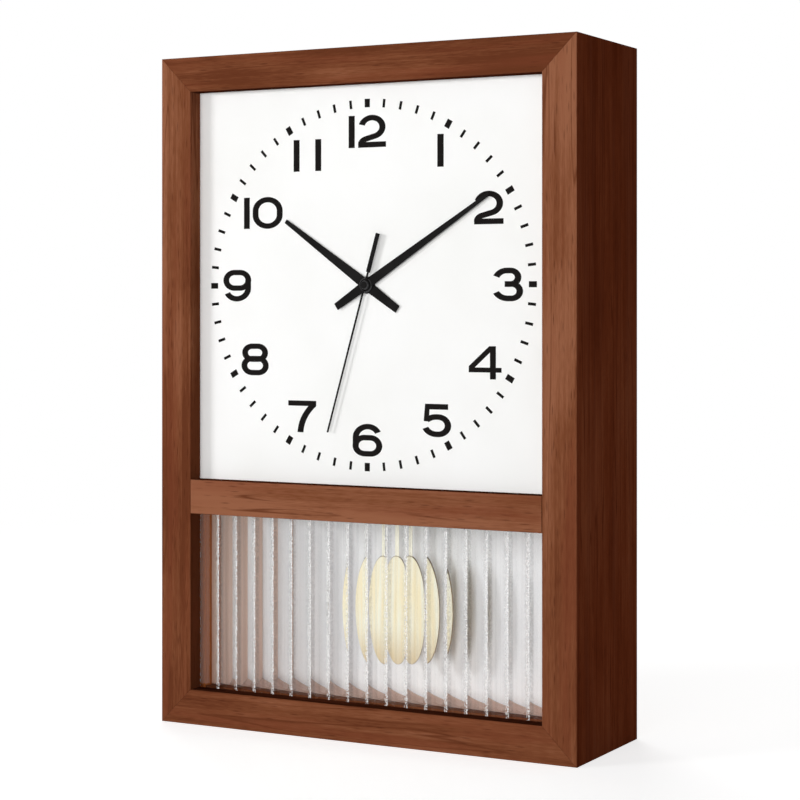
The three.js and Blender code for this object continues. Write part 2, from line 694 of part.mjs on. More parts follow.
// The phase that puts a gap of the second wheel where the first has a tooth. Bearing: from first to second
function meshPhase(teethA, phaseA, bearing, teethB) {
  const past = ((bearing - phaseA) * teethA) / (2 * Math.PI);
  return bearing + Math.PI - ((2 * Math.PI) / teethB) * (0.5 - past);
}
const TO_RIGHT = Math.PI / 2;
const TO_LEFT = -Math.PI / 2;
const DOWN = Math.PI;

const cannonPhase = 0;
const centrePhase = 0;
const secondPhase = 0;
const minuteWheelPhase = meshPhase(CANNON_TEETH, cannonPhase, TO_LEFT, MINUTE_WHEEL_TEETH);
const minutePinionPhase = minuteWheelPhase;
const hourPhase = meshPhase(MINUTE_PINION_TEETH, minutePinionPhase, TO_RIGHT, HOUR_WHEEL_TEETH);
const settingPhase = meshPhase(MINUTE_WHEEL_TEETH, minuteWheelPhase, TO_LEFT, SETTING_TEETH);
const thirdPinionPhase = meshPhase(CENTRE_TEETH, centrePhase, TO_RIGHT, THIRD_PINION_TEETH);
const thirdPhase = thirdPinionPhase;
const secondPinionPhase = meshPhase(THIRD_TEETH, thirdPhase, TO_LEFT, SECOND_PINION_TEETH);
const stepPinionPhase = meshPhase(SECOND_TEETH, secondPhase, TO_LEFT, STEP_PINION_TEETH);
const stepPhase = stepPinionPhase;
const rotorPhase = meshPhase(STEP_TEETH, stepPhase, DOWN, ROTOR_TEETH);

// Hands. Each is a blade with a boss and a collar that grips its tube. The blades of the hour and minute
// hands are widest at the axis and taper to both ends. The second hand is a needle with a weight and a cap
function blade(length, tail, tipWidth, width, tailWidth) {
  return polygon([
    [-tailWidth / 2, -tail],
    [tailWidth / 2, -tail],
    [width / 2, 0],
    [tipWidth / 2, length],
    [-tipWidth / 2, length],
    [-width / 2, 0],
  ]);
}
function hand(depth, outline, seatRadius, collarRadius) {
  const rear = depth + HAND_THICKNESS;
  const boss = pin(HAND_BOSS_RADIUS, depth, rear);
  const collar = pin(collarRadius, depth, rear + HAND_COLLAR);
  const blank = join(slab(outline, depth, rear), boss, collar);
  return cut(blank, bore(seatRadius, depth, rear + HAND_COLLAR));
}
function placeHand(name, geometry, turns) {
  piece(name, geometry, blackPaint(), movement).rotation.y = 2 * Math.PI * turns;
}

const secondsShown = SHOWN_SECONDS + SHOWN_TENTHS / 10;
const minutesShown = SHOWN_MINUTES + secondsShown / 60;
const hourBlade = blade(handRoom - HOUR_TIP_GAP, HOUR_TAIL, HOUR_TIP_WIDTH, HOUR_WIDTH, HOUR_TAIL_WIDTH);
const hourHand = hand(hourHandDepth, hourBlade, pipeRadius + SEAT_GAP, pipeRadius + TUBE_WALL);
placeHand('hour_hand', hourHand, (SHOWN_HOURS + minutesShown / 60) / 12);
const minuteLength = handRoom - MINUTE_TIP_GAP;
const minuteBlade = blade(minuteLength, MINUTE_TAIL, MINUTE_TIP_WIDTH, MINUTE_WIDTH, MINUTE_TAIL_WIDTH);
const minuteHand = hand(minuteHandDepth, minuteBlade, tubeRadius + SEAT_GAP, tubeRadius + TUBE_WALL);
placeHand('minute_hand', minuteHand, minutesShown / 60);

function secondHand() {
  const rear = secondHandDepth + HAND_THICKNESS;
  const weightEnd = -SECOND_TAIL + SECOND_WEIGHT_LENGTH;
  const needle = rectangle(-SECOND_WIDTH / 2, -SECOND_TAIL, SECOND_WIDTH / 2, handRoom - SECOND_TIP_GAP);
  const weight = rectangle(-SECOND_WEIGHT_WIDTH / 2, -SECOND_TAIL, SECOND_WEIGHT_WIDTH / 2, weightEnd);
  const cap = pin(SECOND_CAP_RADIUS, capFront, rear);
  const collar = pin(ARBOR_RADIUS + TUBE_WALL, secondHandDepth, rear + HAND_COLLAR / 2);
  const blank = join(
    slab(needle, secondHandDepth, rear),
    slab(weight, secondHandDepth, rear),
    cap,
    collar,
  );
  return cut(blank, pin(ARBOR_RADIUS + SEAT_GAP, socketFloor, rear + HAND_COLLAR));
}
placeHand('second_hand', secondHand(), secondsShown / 60);

// Wheels of the hand train
const hourWheel = join(
  wheel(HOUR_WHEEL_TEETH, hourModule, hourPhase, level(HOUR_LEVEL), levelRear(HOUR_LEVEL)),
  pin(pipeRadius, hourHandDepth, levelMiddle(HOUR_LEVEL)),
);
const pipeCut = bore(pipeBore, hourHandDepth, levelRear(HOUR_LEVEL));
piece('hour_wheel', cut(hourWheel, pipeCut), wheelPlastic(), movement);

const centreWheel = join(
  wheel(CENTRE_TEETH, CENTRE_MODULE, centrePhase, level(CENTRE_LEVEL), levelRear(CENTRE_LEVEL)),
  wheel(CANNON_TEETH, MOTION_MODULE, cannonPhase, level(MOTION_LEVEL), levelMiddle(CENTRE_LEVEL)),
  pin(tubeRadius, minuteHandDepth, levelMiddle(CENTRE_LEVEL)),
);
const tubeCut = bore(tubeBore, minuteHandDepth, levelRear(CENTRE_LEVEL));
piece('centre_wheel', cut(centreWheel, tubeCut), wheelPlastic(), movement);

const secondArborFront = socketFloor + SEAT_GAP;
const secondWheel = join(
  wheel(SECOND_TEETH, SECOND_MODULE, secondPhase, level(SECOND_LEVEL), levelRear(SECOND_LEVEL)),
  wheel(SECOND_PINION_TEETH, thirdModule, secondPinionPhase, level(THIRD_LEVEL), levelMiddle(SECOND_LEVEL)),
  pin(ARBOR_RADIUS, secondArborFront, coverFront - SHELL_WALL / 2),
);
piece('second_wheel', secondWheel, wheelPlastic(), movement);

// A wheel with a pinion one level in front of it, bored to run on a fixed post
function postWheel(name, count, teeth, module, phase, pinionTeeth, pinionModule, pinionPhase, x, z) {
  const blank = join(
    wheel(teeth, module, phase, level(count), levelRear(count)),
    wheel(pinionTeeth, pinionModule, pinionPhase, level(count - 1), levelMiddle(count)),
  );
  const bored = cut(blank, bore(postBore, level(count - 1), levelRear(count)));
  piece(name, bored, wheelPlastic(), movement).position.set(x, 0, z);
}
postWheel(
  'minute_wheel', MOTION_LEVEL, MINUTE_WHEEL_TEETH, MOTION_MODULE, minuteWheelPhase,
  MINUTE_PINION_TEETH, hourModule, minutePinionPhase, minuteWheelX, 0,
);
postWheel(
  'third_wheel', THIRD_LEVEL, THIRD_TEETH, thirdModule, thirdPhase,
  THIRD_PINION_TEETH, CENTRE_MODULE, thirdPinionPhase, thirdX, 0,
);
postWheel(
  'intermediate_wheel', STEP_LEVEL, STEP_TEETH, ROTOR_MODULE, stepPhase,
  STEP_PINION_TEETH, SECOND_MODULE, stepPinionPhase, stepX, 0,
);

// Rotor: a pinion on a sleeve that carries the ring magnet
const sleeveRear = magnetRear + AXIAL_GAP;
const rotorBlank = join(
  wheel(ROTOR_TEETH, ROTOR_MODULE, rotorPhase, level(STEP_LEVEL), level(ROTOR_LEVEL)),
  pin(ROTOR_SLEEVE, level(ROTOR_LEVEL) - AXIAL_GAP / 2, sleeveRear),
);
const rotorBored = cut(rotorBlank, bore(postBore, level(STEP_LEVEL), sleeveRear));
piece('rotor_pinion', rotorBored, wheelPlastic(), movement).position.set(stepX, 0, rotorZ);
const magnetRing = tube(ROTOR_SLEEVE + SEAT_GAP, MAGNET_RADIUS, level(ROTOR_LEVEL), magnetRear);
piece('rotor_magnet', magnetRing, darkMagnet(), movement).position.set(stepX, 0, rotorZ);

// Setting knob: ribbed knob behind the cover, stem and pinion in front of it
function ribbedShape() {
  const corners = [];
  for (let step = 0; step < 2 * KNOB_RIBS; step += 1) {
    const radius = KNOB_RADIUS - (step % 2) * KNOB_RIB_DEPTH;
    const angle = (step * Math.PI) / KNOB_RIBS;
    corners.push([radius * Math.sin(angle), radius * Math.cos(angle)]);
  }
  return polygon(corners);
}
const knobFront = coverRear + AXIAL_GAP;
const settingPostEnd = levelRear(CENTRE_LEVEL);
const settingBlank = join(
  wheel(SETTING_TEETH, MOTION_MODULE, settingPhase, level(MOTION_LEVEL), levelRear(MOTION_LEVEL)),
  pin(STEM_RADIUS, level(MOTION_LEVEL), knobFront + KNOB_WIDTH / 2),
  slab(ribbedShape(), knobFront, knobFront + KNOB_WIDTH),
);
const settingSocket = pin(postBore, level(MOTION_LEVEL) - CUT_OVERRUN, settingPostEnd + SEAT_GAP);
const settingBored = cut(settingBlank, settingSocket);
piece('setting_knob', settingBored, blackPlastic(), movement).position.set(settingX, 0, 0);

// Movement housing: front shell with the wheel chamber, the pendulum drive below it and the cell bay on top
const shellRound = CHAMBER_ROUND + SHELL_WALL;
const tailHalf = DRIVE_COIL_RADIUS + DRIVE_ROOM + SHELL_WALL;
const bodyTop = bayTop + SHELL_WALL;
const bodyBottom = chamberBottom - SHELL_WALL;
const housingBottom = tailBottom - SHELL_WALL;
const shellOutline = (top, inset) => [
  [-tailHalf + inset, housingBottom + inset],
  [tailHalf - inset, housingBottom + inset],
  [tailHalf - inset, bodyBottom + inset],
  [bodyHalf - inset, bodyBottom + inset],
  [bodyHalf - inset, top - inset],
  [-bodyHalf + inset, top - inset],
  [-bodyHalf + inset, bodyBottom + inset],
  [-tailHalf + inset, bodyBottom + inset],
];
const pocketRear = shellRear + SHELL_WALL;
const chamberPocket = slab(
  rounded(shellOutline(chamberTop + SHELL_WALL, SHELL_WALL), CHAMBER_ROUND),
  chamberFront,
  pocketRear,
);
const bayPocket = block(-bayLength / 2, bayBottom, bayLength / 2, bayTop, chamberFront, pocketRear);
const lugEnd = lugX + SCREW_HEAD_RADIUS + LUG_CLEARANCE;
const lugHalf = SCREW_HEAD_RADIUS + LUG_MARGIN;
const lug = rounded(
  boxCorners(-lugEnd, -lugHalf, lugEnd, lugHalf),
  shellRound,
);
const fingerNotch = block(
  -FINGER_NOTCH_WIDTH / 2,
  bodyTop - 2 * SHELL_WALL,
  FINGER_NOTCH_WIDTH / 2,
  bodyTop + SHELL_WALL,
  (shellFront + shellRear) / 2,
  pocketRear,
);
const hollowShell = cut(
  join(
    slab(rounded(shellOutline(bodyTop, 0), shellRound), shellFront, shellRear),
    slab(lug, shellFront, shellFront + LUG_THICKNESS),
  ),
  chamberPocket,
  bayPocket,
  fingerNotch,
);
const shellPost = (x, end) => moved(pin(POST_RADIUS, shellFront + SHELL_WALL / 2, end), x, 0);
const shellWithPosts = join(
  hollowShell,
  pin(noseRadius, noseFront, chamberFront),
  shellPost(minuteWheelX, levelRear(MOTION_LEVEL) + SEAT_GAP),
  shellPost(thirdX, levelRear(THIRD_LEVEL) + SEAT_GAP),
  shellPost(settingX, settingPostEnd),
);
const noseCut = bore(noseBore, noseFront, chamberFront);
const lugRear = shellFront + LUG_THICKNESS;
const lugHoles = [-lugX, lugX].map((x) => moved(screwHole(shellFront, lugRear), x, 0));
piece('movement_front_shell', cut(shellWithPosts, noseCut, ...lugHoles), blackPlastic(), movement);

const movementScrewLength = LUG_THICKNESS + GLUE_GAP + dialBite;
piece('movement_screw_left', screw(lugRear, movementScrewLength), steel(), movement).position.x = -lugX;
piece('movement_screw_right', screw(lugRear, movementScrewLength), steel(), movement).position.x = lugX;

// Rear cover: closes the chamber, carries the rear posts, the supports of the motor and the pendulum pivot
const coverPost = (radius, end, x, z) => moved(pin(radius, end, coverFront + SHELL_WALL / 2), x, z);
const boardRear = coverFront - BOARD_STANDOFF;
const boardFront = boardRear - BOARD_THICKNESS;
const boardRight = bodyHalf - SHELL_WALL - CHAMBER_CLEARANCE;
const boardLeft = BOARD_FROM_AXIS;
const boardBottom = chamberBottom + CHAMBER_CLEARANCE;
const boardTop = chamberTop - 2 * CHAMBER_CLEARANCE;
const coreEnds = [-1, 1].map((side) => stepX + (side * (statorLength - STATOR_LEG)) / 2);
const boardSupports = [
  [boardLeft + 2 * BOSS_RADIUS, boardBottom + 2 * BOSS_RADIUS],
  [boardRight - 2 * BOSS_RADIUS, boardTop - 2 * BOSS_RADIUS],
];
const pivotBossRear = leverFront - PIVOT_PLAY;
const arborBossFront = coverFront - 2 * SHELL_WALL;
const coverOutline = rounded(shellOutline(chamberTop + SHELL_WALL, 0), shellRound);
const coverBlank = join(
  slab(coverOutline, coverFront, coverRear),
  coverPost(POST_RADIUS, level(SECOND_LEVEL), stepX, 0),
  coverPost(POST_RADIUS, level(STEP_LEVEL), stepX, rotorZ),
  coverPost(BOSS_RADIUS, arborBossFront, 0, 0),
  ...coreEnds.map((x) => coverPost(BOSS_RADIUS, coreRear + GLUE_GAP, x, coreZ)),
  ...boardSupports.map(([x, z]) => coverPost(BOSS_RADIUS, boardRear + GLUE_GAP, x, z)),
  moved(pin(PIVOT_RADIUS + PIVOT_BOSS_WALL, coverFront - SHELL_WALL, pivotBossRear), 0, pivotZ),
);
const arborSocket = pin(ARBOR_RADIUS + RUNNING_GAP, arborBossFront - CUT_OVERRUN, coverFront);
const stemHole = moved(bore(STEM_RADIUS + STEM_CLEARANCE, coverFront, coverRear), settingX, 0);
const pivotHole = moved(bore(PIVOT_RADIUS + SEAT_GAP, coverFront - SHELL_WALL, pivotBossRear), 0, pivotZ);
piece('movement_rear_cover', cut(coverBlank, arborSocket, stemHole, pivotHole), blackPlastic(), movement);

// Stepping motor
const legOutside = statorLength / 2;
const legInside = legOutside - STATOR_LEG;
const legEnd = -coreDrop - STATOR_LEG / 2;
const statorPlate = rounded(
  [
    [-legOutside, legEnd],
    [-legInside, legEnd],
    [-legInside, -statorHalf],
    [legInside, -statorHalf],
    [legInside, legEnd],
    [legOutside, legEnd],
    [legOutside, statorHalf],
    [-legOutside, statorHalf],
  ],
  STATOR_LEG / 3,
);
const statorBore = bore(MAGNET_RADIUS + AIR_GAP, statorFront, statorRear);
const statorBored = cut(slab(statorPlate, statorFront, statorRear), statorBore);
piece('stator_plate', statorBored, steel(), movement).position.set(stepX, 0, rotorZ);

const coreShape = rectangle(-legOutside, -STATOR_LEG / 2, legOutside, STATOR_LEG / 2);
piece('coil_core', slab(coreShape, coreFront, coreRear), steel(), movement).position.set(stepX, 0, coreZ);

const coilBody = (left, right, step) =>
  block(left, -COIL_HEIGHT / 2 - step, right, COIL_HEIGHT / 2 + step, coilFront - step, coilRear + step);
const coilHalf = COIL_LENGTH / 2;
const coilSlot = block(
  -COIL_LENGTH,
  -STATOR_LEG / 2 - GLUE_GAP,
  COIL_LENGTH,
  STATOR_LEG / 2 + GLUE_GAP,
  coreFront - GLUE_GAP,
  coreRear + GLUE_GAP,
);
const coilBlank = join(
  coilBody(-coilHalf, coilHalf, 0),
  coilBody(-coilHalf, -coilHalf + COIL_FLANGE, COIL_FLANGE_STEP),
  coilBody(coilHalf - COIL_FLANGE, coilHalf, COIL_FLANGE_STEP),
);
piece('motor_coil', cut(coilBlank, coilSlot), copperWire(), movement).position.set(stepX, 0, coreZ);

const boardShape = rectangle(boardLeft, boardBottom, boardRight, boardTop);
piece('circuit_board', slab(boardShape, boardFront, boardRear), boardGreen(), movement);

const crystalCan = new THREE.CylinderGeometry(CRYSTAL_RADIUS, CRYSTAL_RADIUS, CRYSTAL_LENGTH, SMALL_SIDES);
const crystal = piece('quartz_crystal', crystalCan, steel(), movement);
crystal.rotation.z = Math.PI / 2;
crystal.position.set(
  (boardLeft + boardRight) / 2,
  atDepth(boardFront - GLUE_GAP - CRYSTAL_RADIUS),
  boardBottom + CRYSTAL_LENGTH,
);

// Power: the cell lies across the top, between a spring and a plain contact plate
const cellZ = (bayBottom + bayTop) / 2;
const cellDepth = chamberFront + CELL_PLAY + CELL_RADIUS;
const bayLeft = -bayLength / 2;
const springLeft = bayLeft + CONTACT_THICKNESS + 2 * GLUE_GAP;
const cellLeft = springLeft + springLength + GLUE_GAP;

// Pieces of the cell bay are turned about an axis that runs from left to right
function turnedAcross(profile, sides = ROUND_SIDES) {
  const points = profile.map(([radius, along]) => new THREE.Vector2(radius, along));
  return new THREE.LatheGeometry(points, sides).rotateZ(-Math.PI / 2);
}
const cellProfile = [
  [0, 0],
  [CELL_RADIUS - CELL_ROUND, 0],
  [CELL_RADIUS, CELL_ROUND],
  [CELL_RADIUS, CELL_LENGTH - CELL_ROUND],
  [CELL_RADIUS - CELL_ROUND, CELL_LENGTH],
  [CELL_NUB_RADIUS, CELL_LENGTH],
  [CELL_NUB_RADIUS, CELL_LENGTH + CELL_NUB_LENGTH],
  [0, CELL_LENGTH + CELL_NUB_LENGTH],
];
const cell = piece('battery', turnedAcross(cellProfile), cellWrap(), movement);
cell.position.set(cellLeft, atDepth(cellDepth), cellZ);

const contactBack = cellDepth + CELL_RADIUS;
function contact(name, left) {
  const right = left + CONTACT_THICKNESS;
  const bottom = cellZ - CONTACT_WIDTH / 2;
  const plate = block(left, bottom, right, bottom + CONTACT_WIDTH, chamberFront + GLUE_GAP, contactBack);
  piece(name, plate, steel(), movement);
}
contact('negative_contact', bayLeft + GLUE_GAP);
contact('positive_contact', bayLeft + bayLength - GLUE_GAP - CONTACT_THICKNESS);

// Spring contact: one unbroken wire that winds in towards the cell
class SpringWire extends THREE.Curve {
  getPoint(share, target = new THREE.Vector3()) {
    const angle = 2 * Math.PI * SPRING_CURLS * share;
    const radius = SPRING_RADIUS + (SPRING_TIP_RADIUS - SPRING_RADIUS) * share;
    const along = SPRING_WIRE + (springLength - 2 * SPRING_WIRE) * share;
    return target.set(along, radius * Math.cos(angle), radius * Math.sin(angle));
  }
}
const springWire = new SpringWire();
const springSteps = SPRING_CURLS * CURL_STEPS;
const wireSection = new THREE.Shape(
  Array.from({ length: WIRE_SIDES }, (_, side) => {
    const angle = (2 * Math.PI * side) / WIRE_SIDES;
    return new THREE.Vector2(SPRING_WIRE * Math.cos(angle), SPRING_WIRE * Math.sin(angle));
  }),
);
const springGeometry = new THREE.ExtrudeGeometry(wireSection, {
  steps: springSteps,
  extrudePath: springWire,
  bevelEnabled: false,
});
const springMesh = piece('battery_spring', springGeometry, steel(), movement);
springMesh.position.set(springLeft, atDepth(cellDepth), cellZ);

function leastSpringGap() {
  const points = springWire.getPoints(springSteps * GAP_SAMPLES);
  const halfCurl = (CURL_STEPS * GAP_SAMPLES) / 2;
  let least = Infinity;
  points.forEach((point, i) => {
    points.slice(i + halfCurl).forEach((other) => {
      least = Math.min(least, point.distanceTo(other));
    });
  });
  return least - 2 * SPRING_WIRE;
}
console.log(`battery_spring least gap to itself: ${leastSpringGap().toFixed(2)} mm`);

// Pendulum drive and pivot, fixed to the movement
const driveCoilRear = coverFront - GLUE_GAP;
const driveCoil = tube(DRIVE_COIL_BORE, DRIVE_COIL_RADIUS, driveCoilRear - DRIVE_COIL_WIDTH, driveCoilRear);
piece('pendulum_coil', driveCoil, copperWire(), movement).position.z = driveZ;

const pivotFront = coverFront - SHELL_WALL;
const pivotHeadFront = leverRear + PIVOT_PLAY;
const pivotHeadRadius = PIVOT_RADIUS + PIVOT_HEAD_STEP;
const pivotProfile = [
  [0, pivotFront],
  [PIVOT_RADIUS, pivotFront],
  [PIVOT_RADIUS, pivotHeadFront],
  [pivotHeadRadius, pivotHeadFront],
  [pivotHeadRadius, pivotHeadFront + PIVOT_HEAD],
  [0, pivotHeadFront + PIVOT_HEAD],
];
piece('pivot_pin', turned(pivotProfile), steel(), movement).position.z = pivotZ;

// Pendulum, drawn from its pivot: lever with magnet and hook, rod, and a bob of two pressed sheets
const leverTop = PIVOT_RADIUS + LEVER_PIVOT_WALL;
const leverMiddle = DRIVE_MAGNET_RADIUS + LEVER_MAGNET_WALL;
const leverEnd = HOOK_COLLAR_RADIUS + LEVER_HOOK_WALL;
const leverOutline = rounded(
  [
    [-leverTop, leverTop],
    [-leverMiddle, -MAGNET_DROP],
    [-leverEnd, hookZ - leverEnd],
    [leverEnd, hookZ - leverEnd],
    [leverMiddle, -MAGNET_DROP],
    [leverTop, leverTop],
  ],
  LEVER_ROUND,
);
const hookRear = rodRear + ROD_THICKNESS;
const lever = join(
  slab(leverOutline, leverFront, leverRear),
  moved(pin(HOOK_COLLAR_RADIUS, leverFront + LEVER_THICKNESS / 2, rodFront - GLUE_GAP), 0, hookZ),
  moved(pin(HOOK_RADIUS, leverFront + LEVER_THICKNESS / 2, hookRear), 0, hookZ),
);
const leverCuts = [
  bore(PIVOT_RADIUS + RUNNING_GAP, leverFront, leverRear),
  moved(bore(DRIVE_MAGNET_RADIUS + SEAT_GAP, leverFront, leverRear), 0, -MAGNET_DROP),
];
piece('pendulum_lever', cut(lever, ...leverCuts), blackPlastic(), pendulum);
const driveMagnet = pin(DRIVE_MAGNET_RADIUS, leverFront - DRIVE_GAP / 2, leverRear);
piece('pendulum_magnet', driveMagnet, darkMagnet(), pendulum).position.z = -MAGNET_DROP;

const insideRadius = BOB_RADIUS - BOB_SHEET;
const rodBottom = bobZ - insideRadius + ROD_END_GAP;
const eyeBore = HOOK_RADIUS + RUNNING_GAP;
const rodBlank = join(
  block(-ROD_WIDTH / 2, rodBottom, ROD_WIDTH / 2, hookZ, rodFront, rodRear),
  moved(pin(eyeBore + ROD_EYE_WALL, rodFront, rodRear), 0, hookZ),
);
const rodEye = moved(bore(eyeBore, rodFront, rodRear), 0, hookZ);
piece('pendulum_rod', cut(rodBlank, rodEye), paleBrass(), pendulum);

const domeRear = rodFront - GLUE_GAP;
const domeApex = domeRear - BOB_SHEET - BOB_DOME;
const bobPlateFront = rodRear + GLUE_GAP;
const skirtRear = bobPlateFront + BOB_SHEET;
const domeDepth = (share) => domeApex + BOB_DOME * share ** 2;
const domeShares = Array.from({ length: BOB_DOME_RINGS + 1 }, (_, ring) => ring / BOB_DOME_RINGS);
const bobProfile = [
  ...domeShares.map((share) => [BOB_RADIUS * share, domeDepth(share)]),
  [BOB_RADIUS, skirtRear],
  [insideRadius, skirtRear],
  ...domeShares.toReversed().map((share) => [insideRadius * share, domeDepth(share) + BOB_SHEET]),
];
const notchHalf = ROD_WIDTH / 2 + GLUE_GAP;
const rodNotch = block(-notchHalf, 0, notchHalf, BOB_RADIUS * 2, rodFront - GLUE_GAP, skirtRear + BOB_SHEET);
const bobFront = cut(turned(bobProfile, BOB_SIDES), rodNotch);
piece('bob_front', bobFront, paleBrass(), pendulum).position.z = bobZ;
const bobBack = turned(
  [
    [0, bobPlateFront],
    [insideRadius - GLUE_GAP * 2, bobPlateFront],
    [insideRadius - GLUE_GAP * 2, skirtRear],
    [0, skirtRear],
  ],
  BOB_SIDES,
);
piece('bob_back', bobBack, paleBrass(), pendulum).position.z = bobZ;

export default clock;
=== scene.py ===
# %% [markdown]
# # A wooden pendulum clock behind reeded glass
# A small wall clock: a mitred wooden case, a white dial, black hands, and a gold pendulum that swings
# behind a pane of reeded glass. The solids of the clock arrive as a fixed frame, in metres. Each step below
# makes one visible piece finer than its solid, gives it a finish, and hangs it on the body that it moves
# with.

# %% Load the fixed frame
import json
import math

import bmesh
import bpy
from mathutils import Matrix, Vector

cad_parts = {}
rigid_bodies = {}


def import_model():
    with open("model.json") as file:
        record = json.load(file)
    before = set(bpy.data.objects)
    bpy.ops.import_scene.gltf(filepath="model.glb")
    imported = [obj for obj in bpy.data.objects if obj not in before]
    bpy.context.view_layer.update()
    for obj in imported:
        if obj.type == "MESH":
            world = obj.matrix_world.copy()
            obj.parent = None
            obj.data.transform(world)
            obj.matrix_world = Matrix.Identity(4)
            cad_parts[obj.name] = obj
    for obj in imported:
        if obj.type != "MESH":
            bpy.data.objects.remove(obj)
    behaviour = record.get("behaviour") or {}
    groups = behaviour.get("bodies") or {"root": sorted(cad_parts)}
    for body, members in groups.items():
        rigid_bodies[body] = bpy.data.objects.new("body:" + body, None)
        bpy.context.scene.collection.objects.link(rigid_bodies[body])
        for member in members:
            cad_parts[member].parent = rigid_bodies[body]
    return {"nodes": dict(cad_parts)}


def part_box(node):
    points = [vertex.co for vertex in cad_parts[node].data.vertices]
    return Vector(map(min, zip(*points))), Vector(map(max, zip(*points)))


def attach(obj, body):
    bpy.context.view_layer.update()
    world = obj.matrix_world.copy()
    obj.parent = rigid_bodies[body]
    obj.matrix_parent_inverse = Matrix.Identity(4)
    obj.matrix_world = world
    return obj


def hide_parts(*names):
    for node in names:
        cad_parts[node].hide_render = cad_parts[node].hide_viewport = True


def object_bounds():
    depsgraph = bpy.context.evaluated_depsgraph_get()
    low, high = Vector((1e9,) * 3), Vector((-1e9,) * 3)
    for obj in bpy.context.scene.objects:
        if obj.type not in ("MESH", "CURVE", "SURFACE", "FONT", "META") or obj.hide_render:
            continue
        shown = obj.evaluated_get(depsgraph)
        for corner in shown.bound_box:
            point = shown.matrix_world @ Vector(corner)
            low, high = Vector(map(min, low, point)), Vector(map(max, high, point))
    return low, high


for leftover in list(bpy.data.objects):
    bpy.data.objects.remove(leftover)
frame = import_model()
cad_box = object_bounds()
scene = bpy.context.scene


def new_object(name, data):
    thing = bpy.data.objects.new(name, data)
    scene.collection.objects.link(thing)
    return thing


# %% [markdown]
# ## Camera
# The photograph keeps upright lines upright, so the camera is level and the lens is shifted down instead of
# tilted. A tilted camera would frame the clock as well, but the sides of the case would lean. The place and
# the turn were worked out from the corners of the case.

# %% Camera
MM = 0.001
CAMERA_PLACE = (0.5241, -0.9653, 0.2214)
CAMERA_TURN = 28.35
CAMERA_LENS = 94.9
CAMERA_SENSOR = 36.0
LENS_DROP = -0.1191

camera_data = bpy.data.cameras.new("photo_camera")
camera_data.sensor_width = CAMERA_SENSOR
camera_data.lens = CAMERA_LENS
camera_data.shift_y = LENS_DROP
camera = new_object("photo_camera", camera_data)
camera.location = CAMERA_PLACE
camera.rotation_euler = (math.radians(90), 0, math.radians(CAMERA_TURN))
scene.camera = camera
scene.view_settings.view_transform = "Standard"
print("camera looks", CAMERA_TURN, "degrees across the dial through a", CAMERA_LENS, "mm lens")

# %% [markdown]
# ## Shader helpers
# A finish is a tree of nodes. Dragging nodes about is fine for one finish, but a clock has about thirty,
# and their maths reads better as Python. A Wire stands for one output of a node, and arithmetic on wires
# adds Math nodes. A Finish is the tree itself, with one method that adds any node.

# %% Wires and finishes
class Wire:
    """One output of a shader node. Sums and products of wires add Math nodes."""

    def __init__(self, finish, socket):
        self.finish = finish
        self.socket = socket

    def output(self, name):
        return Wire(self.finish, self.socket.node.outputs[name])

    def __add__(self, other):
        return self.finish.maths("ADD", self, other)

    def __sub__(self, other):
        return self.finish.maths("SUBTRACT", self, other)

    def __rsub__(self, other):
        return self.finish.maths("SUBTRACT", other, self)

    def __mul__(self, other):
        return self.finish.maths("MULTIPLY", self, other)

    __radd__ = __add__
    __rmul__ = __mul__


class Finish:
    """A node tree in the making, of a material or of the world."""

    def __init__(self, owner):
        self.owner = owner
        owner.use_nodes = True
        self.tree = owner.node_tree
        self.tree.nodes.clear()

    def add(self, kind, settings=None, inputs=None, output=0):
        node = self.tree.nodes.new(kind)
        for name, value in (settings or {}).items():
            if name == "stops":
                self.set_stops(node.color_ramp.elements, value)
            else:
                setattr(node, name, value)
        for name, value in (inputs or {}).items():
            if isinstance(value, Wire):
                self.tree.links.new(value.socket, node.inputs[name])
            else:
                node.inputs[name].default_value = value
        return Wire(self, node.outputs[output]) if node.outputs else None

    def set_stops(self, elements, stops):
        while len(elements) < len(stops):
            elements.new(0.5)
        for element, (place, colour) in zip(elements, stops):
            element.position = place
            element.color = colour

    def maths(self, operation, first, second):
        return self.add("ShaderNodeMath", {"operation": operation}, {0: first, 1: second})


print("helpers ready: Wire, Finish")

# %% [markdown]
# A few words that nearly every finish uses: paint turns the colour a painter reads off a screen into the
# linear colour that a shader wants; noise gives a cloudy value whose size is said in millimetres, so that a
# grain can be long one way and thin the other; and skin ends a finish in one Principled shader.

# %% Words that the finishes share
def paint(red, green, blue):
    def linear(level):
        share = level / 255
        return share / 12.92 if share <= 0.04045 else ((share + 0.055) / 1.055) ** 2.4

    return (linear(red), linear(green), linear(blue), 1.0)


def new_finish(name):
    return Finish(bpy.data.materials.new(name))


def object_point(finish):
    return finish.add("ShaderNodeTexCoord", output="Object")


def sized(point, sizes_mm):
    scale = [1 / (size * MM) for size in sizes_mm]
    return point.finish.add("ShaderNodeMapping", inputs={"Vector": point, "Scale": scale})


def noise(point, sizes_mm, detail=2.0, roughness=0.5):
    where = sized(point, sizes_mm)
    inputs = {"Vector": where, "Scale": 1.0, "Detail": detail, "Roughness": roughness}
    return point.finish.add("ShaderNodeTexNoise", {"noise_dimensions": "3D"}, inputs)


def between(value, low, high):
    settings = {"interpolation_type": "SMOOTHSTEP", "clamp": True}
    inputs = {"Value": value, "From Min": low, "From Max": high}
    return value.finish.add("ShaderNodeMapRange", settings, inputs)


def ramp(value, *stops):
    return value.finish.add("ShaderNodeValToRGB", {"stops": stops}, {"Fac": value})


def mixed(share, first, second):
    inputs = {"Factor": share, 6: first, 7: second}
    return share.finish.add("ShaderNodeMix", {"data_type": "RGBA"}, inputs, output=2)


